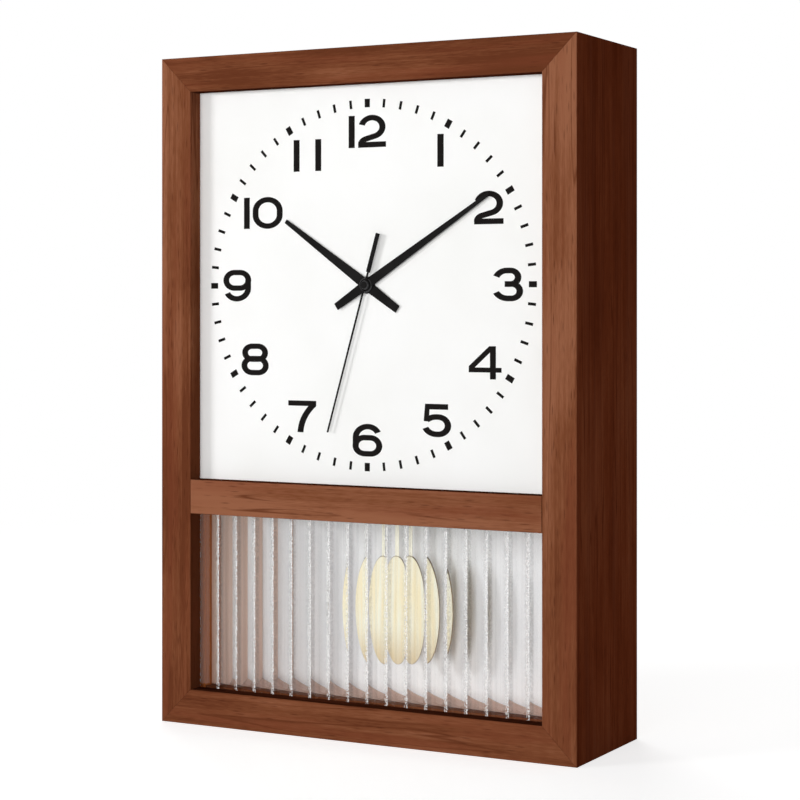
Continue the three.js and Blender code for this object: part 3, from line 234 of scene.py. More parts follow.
def bump(height, depth_mm, strength):
    inputs = {"Height": height, "Distance": depth_mm * MM, "Strength": strength}
    return height.finish.add("ShaderNodeBump", inputs=inputs)


def end(finish, shader):
    finish.add("ShaderNodeOutputMaterial", inputs={"Surface": shader})
    print("finish:", finish.owner.name, len(finish.tree.nodes), "nodes")
    return finish.owner


def skin(finish, **inputs):
    named = {name.replace("_", " "): value for name, value in inputs.items()}
    return end(finish, finish.add("ShaderNodeBsdfPrincipled", inputs=named))


print("helpers ready: paint, noise, between, ramp, mixed, bump, skin")

# %% [markdown]
# Paint, ink, plastic and sintered metal are one recipe: a slow cloud in the colour, and a fine grain in the
# gloss and in the relief. A single flat colour would do from afar, but no real coat is that even.

# %% A plain coat
SOFT_STOPS = (0.35, 0.65)
WIDE_STOPS = (0.3, 0.7)
PLAIN_DETAIL = (2.0, 2.0)


def coated(
    name, tones, cloud_mm, grain_mm, gloss, relief=None, detail=PLAIN_DETAIL, stops=SOFT_STOPS, **inputs
):
    """Gloss is the least roughness and what the grain adds. Relief is a depth in mm and a strength."""
    finish = new_finish(name)
    point = object_point(finish)
    cloud = noise(point, (cloud_mm,) * 3, detail[0])
    grain = noise(point, (grain_mm,) * 3, detail[1])
    colour = ramp(cloud, *zip(stops, [paint(*tone) for tone in tones]))
    if relief:
        inputs["Normal"] = bump(grain, *relief)
    return skin(finish, Base_Color=colour, Roughness=gloss[0] + grain * gloss[1], **inputs)


print("helper ready: coated")

# %% [markdown]
# ## Light and floor
# The photograph was taken in plain soft light. A lamp at the left, a little above the clock and more than
# twice as wide as high, throws the shadows of the frame and of the hands sideways across the dial. Its
# width is what lets the frame's shadow fade out, while the hands, which are close to the dial, keep a clear
# one. A broad, low fill stands in front, and a lamp behind the clock keeps its back readable. Together they
# bring white paint to just under full white. They are hidden from mirrors, so that brass shows the white
# room and no burnt spot. The background is white only to rays that come from the camera, from mirrors or
# through glass. All other rays meet a dim even light, so the white room doesn't wash out the wood.

# %% Lamps, each with its place, its width and height, all in metres, and its power in watts
LAMPS = {
    "key_lamp": ((-1.65, -1.85, 0.6), (0.7, 0.3), 20.5),
    "fill_lamp": ((0.35, -3.0, 0.35), (2.2, 0.7), 50.0),
    "back_lamp": ((-1.6, 2.2, 1.2), (1.6, 1.6), 36.0),
}
AIM = Vector((0, 0, 0.2))

for lamp_name, (lamp_place, lamp_size, lamp_power) in LAMPS.items():
    lamp_data = bpy.data.lights.new(lamp_name, "AREA")
    lamp_data.shape = "RECTANGLE"
    lamp_data.size, lamp_data.size_y = lamp_size
    lamp_data.energy = lamp_power
    lamp = new_object(lamp_name, lamp_data)
    lamp.location = lamp_place
    lamp.rotation_euler = (AIM - lamp.location).to_track_quat("-Z", "Y").to_euler()
    lamp.visible_glossy = False
    lamp.visible_transmission = False
    print(lamp_name, lamp_power, "W")

# %% World
WORLD_LIGHT = 0.17
WHITE = (1.0, 1.0, 1.0, 1.0)


def seen_rays(finish):
    path = finish.add("ShaderNodeLightPath", output="Is Camera Ray")
    mirrored = finish.maths("MAXIMUM", path, path.output("Is Glossy Ray"))
    return finish.maths("MAXIMUM", mirrored, path.output("Is Transmission Ray"))


scene.world = bpy.data.worlds.new("studio")
studio = Finish(scene.world)
soft_light = studio.add("ShaderNodeBackground", inputs={"Color": WHITE, "Strength": WORLD_LIGHT})
white_card = studio.add("ShaderNodeBackground", inputs={"Color": WHITE, "Strength": 1.0})
shown = studio.add("ShaderNodeMixShader", inputs={0: seen_rays(studio), 1: soft_light, 2: white_card})
studio.add("ShaderNodeOutputWorld", inputs={"Surface": shown})
print("world light", WORLD_LIGHT)

# %% Floor
FLOOR_SIZE = 3.0
FLOOR_PAINT = (0.8, 0.8, 0.8, 1.0)
FLOOR_LIFT = 0.7
FLOOR_NEAR, FLOOR_FAR = 0.35, 1.1


def floor_finish():
    finish = new_finish("pale_floor")
    painted = finish.add("ShaderNodeBsdfDiffuse", inputs={"Color": FLOOR_PAINT})
    glow = finish.add("ShaderNodeEmission", inputs={"Color": WHITE, "Strength": FLOOR_LIFT})
    white = finish.add("ShaderNodeEmission", inputs={"Color": WHITE, "Strength": 1.0})
    lit = finish.add("ShaderNodeAddShader", inputs={0: painted, 1: glow})
    reach = finish.add("ShaderNodeVectorMath", {"operation": "LENGTH"}, {0: object_point(finish)}, "Value")
    fade = between(reach, FLOOR_NEAR, FLOOR_FAR)
    seen = finish.add("ShaderNodeMixShader", inputs={0: fade, 1: lit, 2: white})
    return end(finish, finish.add("ShaderNodeMixShader", inputs={0: seen_rays(finish), 1: painted, 2: seen}))


floor_bm = bmesh.new()
bmesh.ops.create_grid(floor_bm, x_segments=1, y_segments=1, size=FLOOR_SIZE)
floor_mesh = bpy.data.meshes.new("floor")
floor_bm.to_mesh(floor_mesh)
floor_bm.free()
floor_mesh.materials.append(floor_finish())
floor = new_object("floor", floor_mesh)
print("floor", 2 * FLOOR_SIZE, "m square")

# %% [markdown]
# ## Mesh helpers
# Depths on a clock are easiest to read as distances behind the front of the case, so the helpers take
# millimetres to the right of the middle, behind the front, and above the shelf. A Pen draws by two moves, a
# line and an arc, and both are the spin operator: a bare point leaves a line of edges, and a nib of some
# width leaves a band of faces. Outlines, sections and numerals are all drawn with it.

# %% The frame of the drawing, and a pen
FRONT_Y = cad_box[0][1] / MM
BEHIND_FRONT = Matrix.Translation((0, FRONT_Y, 0))
ARC_STEP = 6.0
MERGE = 1e-3
FULL_TURN = 2 * math.pi
FRONT_VIEW = (Vector((1, 0, 0)), Vector((0, 0, 1)))
TOP_VIEW = (Vector((1, 0, 0)), Vector((0, 1, 0)))


class Pen:
    """Draws in a plane with lines and arcs. A left turn is positive, as seen from the front or from above."""

    def __init__(self, bm, right, up, heading, nib=0.0, plane=FRONT_VIEW):
        self.bm = bm
        self.plane = plane
        self.axis = plane[0].cross(plane[1])
        self.place = right * plane[0] + up * plane[1]
        self.heading = math.radians(heading)
        if nib:
            side = self.sideways() * nib / 2
            ends = [bm.verts.new(self.place - side), bm.verts.new(self.place + side)]
            self.tip = [*ends, bm.edges.new(ends)]
        else:
            self.tip = [bm.verts.new(self.place)]

    def ahead(self):
        return math.cos(self.heading) * self.plane[0] + math.sin(self.heading) * self.plane[1]

    def sideways(self):
        return self.axis.cross(self.ahead())

    def sweep(self, **moves):
        self.tip = bmesh.ops.spin(self.bm, geom=self.tip, axis=self.axis, **moves)["geom_last"]
        return self

    def turn(self, degrees):
        self.heading += math.radians(degrees)
        return self

    def line(self, length):
        step = self.ahead() * length
        self.place = self.place + step
        return self.sweep(cent=(0, 0, 0), dvec=step, angle=0, steps=1)

    def arc(self, radius, degrees, step=ARC_STEP):
        centre = self.place + self.sideways() * math.copysign(radius, degrees)
        turn = math.radians(degrees)
        self.place = centre + Matrix.Rotation(turn, 3, self.axis) @ (self.place - centre)
        self.heading += turn
        return self.sweep(cent=centre, angle=turn, steps=max(2, round(abs(degrees) / step)))


print("front of the case at y =", round(FRONT_Y, 2), "mm")


# %% Solids from outlines
def everything(bm):
    return bm.verts[:] + bm.edges[:] + bm.faces[:]


def merge(bm, gap=MERGE):
    bmesh.ops.remove_doubles(bm, verts=bm.verts[:], dist=gap)
    return bm


def tidy(bm, gap=MERGE):
    merge(bm, gap)
    bmesh.ops.recalc_face_normals(bm, faces=bm.faces[:])
    return bm


def placed(bm, matrix):
    bmesh.ops.transform(bm, matrix=matrix, verts=bm.verts[:])
    return bm


def thicken(bm, step):
    merge(bm)
    grown = bmesh.ops.extrude_face_region(bm, geom=bm.faces[:])["geom"]
    moved = [part for part in grown if isinstance(part, bmesh.types.BMVert)]
    bmesh.ops.translate(bm, verts=moved, vec=step)
    return tidy(bm)


def filled(bm):
    merge(bm)
    bmesh.ops.triangle_fill(bm, use_beauty=True, use_dissolve=True, edges=bm.edges[:])
    return bm


def spun(bm, axis, steps):
    whole = everything(bm)
    bmesh.ops.spin(bm, geom=whole, cent=(0, 0, 0), axis=axis, angle=FULL_TURN, steps=steps, use_merge=True)
    return tidy(bm)


def block(bm, low, high):
    corners = bmesh.ops.create_cube(bm, size=1.0)["verts"]
    bmesh.ops.scale(bm, vec=Vector(high) - Vector(low), verts=corners)
    bmesh.ops.translate(bm, vec=(Vector(high) + Vector(low)) / 2, verts=corners)
    return corners


print("helpers ready: merge, tidy, placed, thicken, filled, spun, block")

# %% Saw cuts and bevels
SHARP_EDGE = 30.0
LONG = 1.0


def saw(bm, place, outwards, cap=True):
    cut = bmesh.ops.bisect_plane(
        bm, geom=everything(bm), dist=MERGE, plane_co=place, plane_no=outwards, clear_outer=True
    )
    if cap:
        sawn = [part for part in cut["geom_cut"] if isinstance(part, bmesh.types.BMEdge)]
        bmesh.ops.contextual_create(bm, geom=sawn)


def sharp_edges(bm):
    limit = math.radians(SHARP_EDGE)
    return [edge for edge in bm.edges if edge.is_manifold and edge.calc_face_angle() > limit]


def edges_along(bm, axis):
    def reach(edge):
        return abs(edge.verts[0].co[axis] - edge.verts[1].co[axis])

    return [edge for edge in sharp_edges(bm) if reach(edge) > LONG]


def soften(bm, offset, segments=3, edges=None):
    bmesh.ops.bevel(
        bm, geom=sharp_edges(bm) if edges is None else edges, offset=offset, offset_type="OFFSET",
        affect="EDGES", segments=segments, profile=0.5, material=-1, clamp_overlap=True, loop_slide=False,
    )
    return bm


print("an edge is sharp above", SHARP_EDGE, "degrees")

# %% [markdown]
# Every finished piece goes through the same door: the drawing in millimetres becomes a mesh in metres, gets
# its finish, and rides on a body of the clock. Where it stands for a solid of the frame, that solid is
# hidden. Smooth shading with weighted normals keeps the flats flat and lets the small bevels catch the
# light.

# %% Finished pieces
SMOOTH_UP_TO = 35.0
FLAT_ENOUGH = 0.5


def drawn_box(node):
    low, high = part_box(node)
    behind_front = Vector((0, FRONT_Y, 0))
    return low / MM - behind_front, high / MM - behind_front


def choose_finishes(bm, choice):
    for face in bm.faces:
        face.material_index = int(choice(face))
    return bm


def make_piece(name, bm, materials, body, slot, *nodes):
    mesh = bpy.data.meshes.new(name)
    open_edges = sum(not edge.is_manifold for edge in bm.edges)
    bm.to_mesh(mesh)
    bm.free()
    for material in materials:
        mesh.materials.append(material)
    mesh.shade_smooth()
    mesh.set_sharp_from_angle(angle=math.radians(SMOOTH_UP_TO))
    piece = new_object(name, mesh)
    shading = piece.modifiers.new("even_shading", "WEIGHTED_NORMAL")
    shading.keep_sharp = True
    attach(piece, body)
    if nodes:
        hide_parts(*nodes)
    print("piece:", name, len(mesh.polygons), "faces,", open_edges, "open edges, on", body)
    return piece


def drawn_piece(name, bm, materials, body, slot, *nodes):
    placed(bm, Matrix.Scale(MM, 4) @ BEHIND_FRONT)
    return make_piece(name, bm, materials, body, slot, *nodes)


def softened_copy(name, node, offset_mm, material, body, slot):
    bm = bmesh.new()
    bm.from_mesh(frame["nodes"][node].data)
    merge(bm, MERGE * MM)
    flat = math.radians(FLAT_ENOUGH)
    bmesh.ops.dissolve_limit(bm, angle_limit=flat, verts=bm.verts[:], edges=bm.edges[:])
    soften(bm, offset_mm * MM, 2)
    return make_piece(name, bm, [material], body, slot, node)


print("pieces are shaded smooth up to", SMOOTH_UP_TO, "degrees")

# %% [markdown]
# ## Stained wood
# The case is a close-grained wood under a red-brown stain and a satin varnish. Up close it has a slow
# figure, fine streaks along the board, thin dark lines where the year rings are cut, and short dark pores
# that come in clusters. One photograph stretched over the boards would repeat, so the grain is built from
# noise that is long in the direction of the board and thin across it. Uprights and cross pieces get the
# same recipe with the long direction turned, and a board that was sawn from another place of the plank
# reads the noise there.

# %% Stains, and the sizes of the grain across and along the board, in millimetres
FACE_STAIN = (paint(98, 52, 31), paint(120, 70, 45), paint(144, 92, 66))
# Outer faces: a redder stain, made darker as painted shade of the sides turned away from the lamps
OUTER_STAIN_AND_SHADE = (paint(102, 43, 22), paint(124, 58, 32), paint(143, 76, 47))
# Reveals: dark tones that are painted shade, for the dark lines along the lips and the rail
REVEAL_PAINTED_SHADE = (paint(50, 22, 12), paint(66, 31, 18), paint(84, 44, 29))
STAIN_STOPS = (0.4, 0.5, 0.62)
WOOD_RED = paint(120, 62, 41)
WOOD_PORE = paint(66, 30, 17)
FIGURE = (26.0, 90.0)
BANDS = (5.0, 260.0)
STREAKS = (1.4, 70.0)
FIBRES = (0.4, 6.0)
RED_PATCHES = (8.0, 130.0)
YEAR_RINGS = (9.0, 260.0)
RINGS_IN_PLANK = 10.0
PORES = (1.3, 11.0)
PORE_CLUSTERS = (11.0, 40.0)
ALONG_X, ALONG_Z = 0, 2


def grain_sizes(along, across_mm, along_mm):
    sizes = [across_mm] * 3
    sizes[along] = along_mm
    return sizes


def grain(point, along, sizes, **how):
    return noise(point, grain_sizes(along, *sizes), **how)


def pores(point, along):
    finish = point.finish
    cells = sized(point, grain_sizes(along, *PORES))
    settings = {"voronoi_dimensions": "3D", "feature": "F1"}
    spots = finish.add("ShaderNodeTexVoronoi", settings, {"Vector": cells, "Scale": 1.0}, "Distance")
    chance = finish.add("ShaderNodeSeparateColor", inputs={"Color": spots.output("Color")})
    clusters = grain(point, along, PORE_CLUSTERS, detail=1.0)
    wanted = between(clusters + chance * 0.4, 0.6, 0.8)
    return between(spots, 0.36, 0.08) * wanted


def year_rings(point, along):
    lines = grain(point, along, YEAR_RINGS, roughness=0.4)
    return between(point.finish.maths("PINGPONG", lines * RINGS_IN_PLANK, 1.0), 0.84, 1.0)


def along_board(finish, along):
    parts = finish.add("ShaderNodeSeparateXYZ", inputs={"Vector": object_point(finish)})
    return between(parts.output("XYZ"[along]), cad_box[0][along], cad_box[1][along])


print("grain from", FIBRES[0], "mm fibres to a", FIGURE[1], "mm figure")


# %% Stained wood
def stained_wood(name, along, stain=FACE_STAIN, lighter=(0.0, 0.0), sawn_from=(0.0, 0.0, 0.0), gloss=0.02):
    finish = new_finish(name)
    point = finish.add("ShaderNodeMapping", inputs={"Vector": object_point(finish), "Location": sawn_from})
    figure = grain(point, along, FIGURE, detail=3.0)
    bands = grain(point, along, BANDS)
    streaks = grain(point, along, STREAKS)
    fibres = grain(point, along, FIBRES)
    # Tone at the two ends of the board. On the uprights it rises towards the top, a painted shade of light
    # falling off downwards; on the other boards it is an even tone of the board.
    first_end, last_end = lighter
    painted_falloff_and_tone = along_board(finish, along) * (last_end - first_end) + first_end
    tone = figure * 0.4 + bands * 0.25 + streaks * 0.17 + fibres * 0.18 + painted_falloff_and_tone
    coloured = ramp(tone, *zip(STAIN_STOPS, stain))
    redder = between(grain(point, along, RED_PATCHES), 0.46, 0.66)
    ruddy = mixed(redder * 0.4, coloured, WOOD_RED)
    rings = year_rings(point, along) * between(figure, 0.36, 0.5)
    lined = mixed(rings * 0.85, ruddy, stain[0])
    dots = pores(point, along)
    colour = mixed(dots * 0.45, lined, WOOD_PORE)
    height = fibres * 0.3 + streaks * 0.2 - dots * 0.5
    return skin(
        finish, Base_Color=colour, Roughness=0.4 + streaks * 0.12 + dots * 0.2,
        Normal=bump(height, 0.1, 0.5), Specular_IOR_Level=gloss,
    )


# The uprights are darker towards the bottom: painted shade of light falling off downwards. The other boards
# get an even tone of their own.
left_wood = stained_wood("stained_wood_left", ALONG_Z, lighter=(-0.09, 0.02))
right_wood = stained_wood("stained_wood_right", ALONG_Z, lighter=(0.015, 0.105), sawn_from=(0.31, 0.17, 0.4))
top_wood = stained_wood("stained_wood_top", ALONG_X, lighter=(-0.08, -0.08))
bottom_wood = stained_wood("stained_wood_bottom", ALONG_X, lighter=(-0.03, -0.03), sawn_from=(0.4, 0.1, 0.2))
rail_wood = stained_wood("stained_wood_rail", ALONG_X, lighter=(0.12, 0.12), sawn_from=(0.2, 0.3, 0.1))
# The outer faces carry painted shade: they are darker than the front, as sides turned from the lamps.
outer_upright, outer_cross = (
    stained_wood(f"wood_outer_stain_and_shade_{name}", along, OUTER_STAIN_AND_SHADE, sawn_from=plank, gloss=0.0)
    for name, along, plank in (("upright", ALONG_Z, (0.1, 0.2, 0.3)), ("cross", ALONG_X, (0.3, 0.1, 0.2)))
)
# Painted shade: the reveals are darker than the front, the upright one most towards the bottom.
reveal_upright = stained_wood("wood_reveal_upright_painted_shade", ALONG_Z, lighter=(-0.25, 0.08), gloss=0.0)
reveal_cross = stained_wood("wood_reveal_cross_painted_shade", ALONG_X, REVEAL_PAINTED_SHADE, gloss=0.0)

# %% [markdown]
# Inside the case nobody stains the wood. The inner walls and the beads of the dial are the bare wood, pale
# and a little pink, and they show as the soft light tone at the ends of the glass. The upright beads of the
# glass catch the eye there, so they are oiled to a warmer brown.

# %% Bare and oiled wood
PINK_WOOD = (paint(238, 200, 178), paint(247, 213, 193), paint(252, 224, 207))
# Painted shade: the bare wood of the cross boards is a darker, greyer copy of the pink, for the floor of the
# case in shade.
SHADED_BARE_WOOD = (paint(204, 164, 146), paint(216, 178, 160), paint(228, 194, 178))
OILED_WOOD = (paint(168, 88, 40), paint(186, 104, 52), paint(202, 122, 68))
BARE_STOPS = (0.3, 0.5, 0.7)
BARE_STREAKS = (1.6, 90.0)
BARE_FIBRES = (0.3, 6.0)


def bare_wood(name, along, tones=PINK_WOOD):
    finish = new_finish(name)
    point = object_point(finish)
    streaks = grain(point, along, BARE_STREAKS)
    fibres = grain(point, along, BARE_FIBRES, detail=3.0)
    colour = ramp(streaks * 0.6 + fibres * 0.4, *zip(BARE_STOPS, tones))
    return skin(
        finish, Base_Color=colour, Roughness=0.78, Specular_IOR_Level=0.2,
        Normal=bump(fibres, 0.12, 0.5),
    )


raw_upright = bare_wood("raw_wood_upright", ALONG_Z)
raw_cross = bare_wood("raw_wood_cross_painted_shade", ALONG_X, SHADED_BARE_WOOD)
oiled_upright = bare_wood("oiled_wood_upright", ALONG_Z, OILED_WOOD)

# %% [markdown]
# ## Case boards
# Four boards of one moulding make the case. The joiner cuts one section, with a lip at the front that the
# dial rests against and a step at the rear for the back panel, and saws its ends at 45 degrees. The same
# order works here: draw the section, extrude it, round its long edges, then cut the mitres with a plane.
# Rounding before the saw cut makes the bevels of two boards meet at the mitre as they do on the real
# corner.

# %% Board moulding
CASE_WIDTH, CASE_DEPTH, CASE_HEIGHT = ((high - low) / MM for low, high in zip(*cad_box))
FRAME_FACE = 18.4
LIP_DEPTH = 9.4
LIP_REACH = 5.0
BACK_SEAT = 68.8
BACK_REBATE = 7.0
LONG_EDGE = 0.55
MITRE_EDGE = 0.08
MITRE_GAP = 0.03
NEAR_MITRE = 0.01
FACING = 0.9
FACE, INSIDE, OUTER, REVEAL = range(4)


def board_side(face):
    if face.normal.x < -FACING:
        return OUTER
    if face.normal.x < FACING:
        return FACE
    return INSIDE if face.calc_center_median().y > LIP_DEPTH else REVEAL


def on_mitre(edge, level, slope):
    return all(abs(vert.co.x + slope * (vert.co.z - level)) < NEAR_MITRE for vert in edge.verts)


def board(length):
    bm = bmesh.new()
    pen = Pen(bm, 0, 0, 0, plane=TOP_VIEW)
    pen.line(FRAME_FACE).turn(90).line(LIP_DEPTH).turn(90).line(LIP_REACH)
    pen.turn(-90).line(BACK_SEAT - LIP_DEPTH).turn(90).line(BACK_REBATE)
    pen.turn(-90).line(CASE_DEPTH - BACK_SEAT).turn(90).line(FRAME_FACE - LIP_REACH - BACK_REBATE)
    pen.turn(90).line(CASE_DEPTH)
    thicken(filled(bm), (0, 0, length))
    soften(bm, LONG_EDGE, edges=edges_along(bm, ALONG_Z))
    for level, slope in ((MITRE_GAP, -1), (length - MITRE_GAP, 1)):
        saw(bm, (0, 0, level), (1, 0, slope))
        tidy(bm)
        ends = [edge for edge in bm.edges if edge.is_manifold and on_mitre(edge, level, slope)]
        soften(bm, MITRE_EDGE, 2, ends)
    return choose_finishes(bm, board_side)


print("case:", round(CASE_WIDTH), "x", round(CASE_DEPTH), "x", round(CASE_HEIGHT), "mm")

# %% Four boards in place
LEFT, RIGHT, TOP, BOTTOM = "left", "right", "top", "bottom"
HALF_WIDTH = CASE_WIDTH / 2
BOARD_PLACES = {
    LEFT: Matrix(((1, 0, 0, -HALF_WIDTH), (0, 1, 0, 0), (0, 0, 1, 0), (0, 0, 0, 1))),
    RIGHT: Matrix(((-1, 0, 0, HALF_WIDTH), (0, 1, 0, 0), (0, 0, 1, 0), (0, 0, 0, 1))),
    TOP: Matrix(((0, 0, 1, -HALF_WIDTH), (0, 1, 0, 0), (-1, 0, 0, CASE_HEIGHT), (0, 0, 0, 1))),
    BOTTOM: Matrix(((0, 0, 1, -HALF_WIDTH), (0, 1, 0, 0), (1, 0, 0, 0), (0, 0, 0, 1))),
}
UPRIGHT_SIDES = (raw_upright, outer_upright, reveal_upright)
CROSS_SIDES = (raw_cross, outer_cross, reveal_cross)
BOARDS = {
    LEFT: ("case_left_side", CASE_HEIGHT, (left_wood, *UPRIGHT_SIDES)),
    RIGHT: ("case_right_side", CASE_HEIGHT, (right_wood, *UPRIGHT_SIDES)),
    TOP: ("case_top", CASE_WIDTH, (top_wood, *CROSS_SIDES)),
    BOTTOM: ("case_bottom", CASE_WIDTH, (bottom_wood, *CROSS_SIDES)),
}

for side, (node, length, woods) in BOARDS.items():
    board_bm = placed(board(length), BOARD_PLACES[side])
    drawn_piece(f"{side}_board", tidy(board_bm), woods, "case", "stained_wood", node)

# %% [markdown]
# ## Middle rail
# The rail between dial and glass is flush with the frame and butts against it. Behind it a tongue reaches
# into the case walls, and the dial and the glass rest on that tongue's shoulders. Blocks with their edges
# rounded are enough, since the tongue never shows from the front.

# %% Middle rail
RAIL_BOTTOM, RAIL_TOP = 111.2, 129.2
RAIL_HALF = 101.5
RAIL_ROUND = 0.4
TONGUE_BOTTOM, TONGUE_TOP = 115.2, 125.2
TONGUE_HALF = 106.5
TONGUE_FRONT, TONGUE_REAR = 9.5, 22.6
CORE_INSET = 1.0

rail_bm = bmesh.new()
block(rail_bm, (-RAIL_HALF, 0, RAIL_BOTTOM), (RAIL_HALF, LIP_DEPTH, RAIL_TOP))
block(rail_bm, (-TONGUE_HALF, TONGUE_FRONT, TONGUE_BOTTOM), (TONGUE_HALF, TONGUE_REAR, TONGUE_TOP))
core_low = (-RAIL_HALF + CORE_INSET, LIP_DEPTH / 2, TONGUE_BOTTOM + CORE_INSET)
core_high = (RAIL_HALF - CORE_INSET, TONGUE_REAR - CORE_INSET, TONGUE_TOP - CORE_INSET)
block(rail_bm, core_low, core_high)
soften(rail_bm, RAIL_ROUND, edges=edges_along(rail_bm, ALONG_X))
# The top and bottom faces of the rail take the reveal tone, a painted shade that draws the dark line under
# the dial.
choose_finishes(rail_bm, lambda face: abs(face.normal.z) > FACING)
drawn_piece("window_rail", rail_bm, [rail_wood, reveal_cross], "case", "stained_wood", "middle_rail")

# %% [markdown]
# ## Dial
# The dial is a board with a smooth white face. Its coat is nearly plain, with the faint unevenness of a
# spray, because a flat white would look like paper under the raking light at the left.

# %% Dial board
DIAL_LOW, DIAL_HIGH = drawn_box("dial_plate")
HAND_AXIS = 231.4
DIAL_HOLE = 4.35
DIAL_EDGE = 0.25
HOLE_STEPS = 64


def rectangle(bm, left, bottom, right, top):
    pen = Pen(bm, left, bottom, 0)
    for side_length in (right - left, top - bottom) * 2:
        pen.line(side_length).turn(90)


def ring(bm, centre_x, centre_z, radius):
    middle = Matrix.Translation((centre_x, 0, centre_z)) @ Matrix.Rotation(math.radians(90), 4, "X")
    bmesh.ops.create_circle(bm, segments=HOLE_STEPS, radius=radius, matrix=middle)


def plate(bm, front, rear):
    thicken(filled(bm), (0, rear - front, 0))
    return placed(bm, Matrix.Translation((0, front, 0)))


dial_white = coated(
    "dial_white", ((246, 246, 244), (250, 250, 249)), cloud_mm=60.0, grain_mm=0.5, gloss=(0.48, 0.1),
    relief=(0.02, 0.3), Specular_IOR_Level=0.3,
)
dial_bm = bmesh.new()
rectangle(dial_bm, DIAL_LOW.x, DIAL_LOW.z, DIAL_HIGH.x, DIAL_HIGH.z)
ring(dial_bm, 0, HAND_AXIS, DIAL_HOLE)
plate(dial_bm, DIAL_LOW.y, DIAL_HIGH.y)
drawn_piece("dial_face", soften(dial_bm, DIAL_EDGE, 2), [dial_white], "case", "dial_white", "dial_plate")

# %% [markdown]
# ## Minute ring
# The ring has sixty printed bars, twelve of them broad. The bars of five minutes are drawn at the top,
# thickened by the height of the ink, and carried round the hand axis by spin with its duplicate option, so
# the spacing is exact.

# %% Minute ring
MARK_MIDDLE = 92.6
MARK_LENGTH = 4.3
HOUR_MARK_WIDTH = 3.0
MINUTE_MARK_WIDTH = 1.45
INK = 0.06
HOURS = 12
MINUTES = 60


def mark(bm, width, minute):
    before = set(bm.verts)
    Pen(bm, 0, HAND_AXIS + MARK_MIDDLE - MARK_LENGTH / 2, 90, nib=width).line(MARK_LENGTH)
    bar = [vert for vert in bm.verts if vert not in before]
    turn = Matrix.Rotation(FULL_TURN / MINUTES * minute, 3, "Y")
    bmesh.ops.rotate(bm, cent=(0, 0, HAND_AXIS), matrix=turn, verts=bar)


dial_ink = coated(
    "dial_ink", ((22, 19, 18), (28, 26, 25)), cloud_mm=0.6, grain_mm=0.6, gloss=(0.5, 0.15),
    stops=WIDE_STOPS, Specular_IOR_Level=0.04,
)
marks_bm = bmesh.new()
mark(marks_bm, HOUR_MARK_WIDTH, 0)
for minute in range(1, MINUTES // HOURS):
    mark(marks_bm, MINUTE_MARK_WIDTH, minute)
thicken(marks_bm, (0, -INK, 0))
bmesh.ops.spin(
    marks_bm, geom=everything(marks_bm), cent=(0, 0, HAND_AXIS), axis=(0, 1, 0),
    angle=FULL_TURN - FULL_TURN / HOURS, steps=HOURS - 1, use_duplicate=True,
)
placed(marks_bm, Matrix.Translation((0, DIAL_LOW.y, 0)))
drawn_piece("minute_ring", tidy(marks_bm), [dial_ink], "case", "dial_white")

# %% [markdown]
# ## Numerals
# The numerals are wide, round and even in weight, with a one that is a bare upright. A font would bring a
# letter shape of its own, so each digit is drawn with the broad pen, as a sign painter would. The pen's
# strokes are all about one width, and the digits are then widened, which thickens their uprights a little
# more than their bars. Where strokes cross, two faces in one plane would flicker, so each stroke of a digit
# lies a hair higher than the last.

# %% Digits drawn with a broad pen
NIB = 2.8
DIGIT_HEIGHT = 16.4
WIDEN = 1.27
DIGIT_MIDDLE = DIGIT_HEIGHT / 2
BASE = NIB / 2


def stroke(strokes, right, up, heading, nib=NIB):
    bm = bmesh.new()
    strokes.append(bm)
    return Pen(bm, right, up, heading, nib=nib)


def stadium(strokes, centre_x, centre_z, half_width, radius):
    straight = 2 * (half_width - radius)
    pen = stroke(strokes, centre_x - straight / 2, centre_z + radius, 0)
    pen.line(straight).arc(radius, -180).line(straight).arc(radius, -180)


def trim(bm, left, bottom, right, top):
    saw(bm, (left, 0, 0), (-1, 0, 0), cap=False)
    saw(bm, (0, 0, bottom), (0, 0, -1), cap=False)
    saw(bm, (right, 0, 0), (1, 0, 0), cap=False)
    saw(bm, (0, 0, top), (0, 0, 1), cap=False)


def zero(strokes):
    pen = stroke(strokes, BASE, 7.13, 90)
    pen.line(2.14).arc(5.83, -180).line(2.14).arc(5.83, -180)


def one(strokes):
    stroke(strokes, BASE, 0, 90).line(DIGIT_HEIGHT)


def two(strokes):
    stroke(strokes, 1.66, 11.54, 75).arc(4.8, -237).line(4.7).arc(2.9, 72)
    stroke(strokes, 0, BASE, 0).line(12.7)


def three(strokes):
    stroke(strokes, 1.4, 12.02, 66).arc(5.03, -66).line(1.4).arc(3.33, -180).line(2.4)
    stroke(strokes, 5.02, 8.37, 0).line(2.9).arc(3.53, -180).line(1.7).arc(5.5, -63)


def four(strokes):
    stroke(strokes, -1.2, 3.35, 48.3, nib=2.36).line(20)
    trim(strokes[-1], 0, 3.4, 11.5, DIGIT_HEIGHT)
    stroke(strokes, 10.46, 0, 90, nib=2.54).line(DIGIT_HEIGHT)
    stroke(strokes, 0, 4.6, 0, nib=2.4).line(14.17)


print("a digit is", DIGIT_HEIGHT, "mm high")


# %% Five to nine
def five(strokes):
    stroke(strokes, 1.02, 15.0, 0).line(10.24)
    stroke(strokes, 1.55, 7.6, 86, nib=2.2).line(8.6)
    bowl = stroke(strokes, 1.7, 8.2, 43)
    bowl.arc(6.3, -43).line(0.87).arc(4.33, -180).line(0.87).arc(5.23, -66)


def six(strokes):
    stadium(strokes, 6.72, 5.36, 5.42, 4.1)
    stroke(strokes, BASE, 5.4, 90).line(4.1).arc(5.6, -90).arc(5.0, -66)


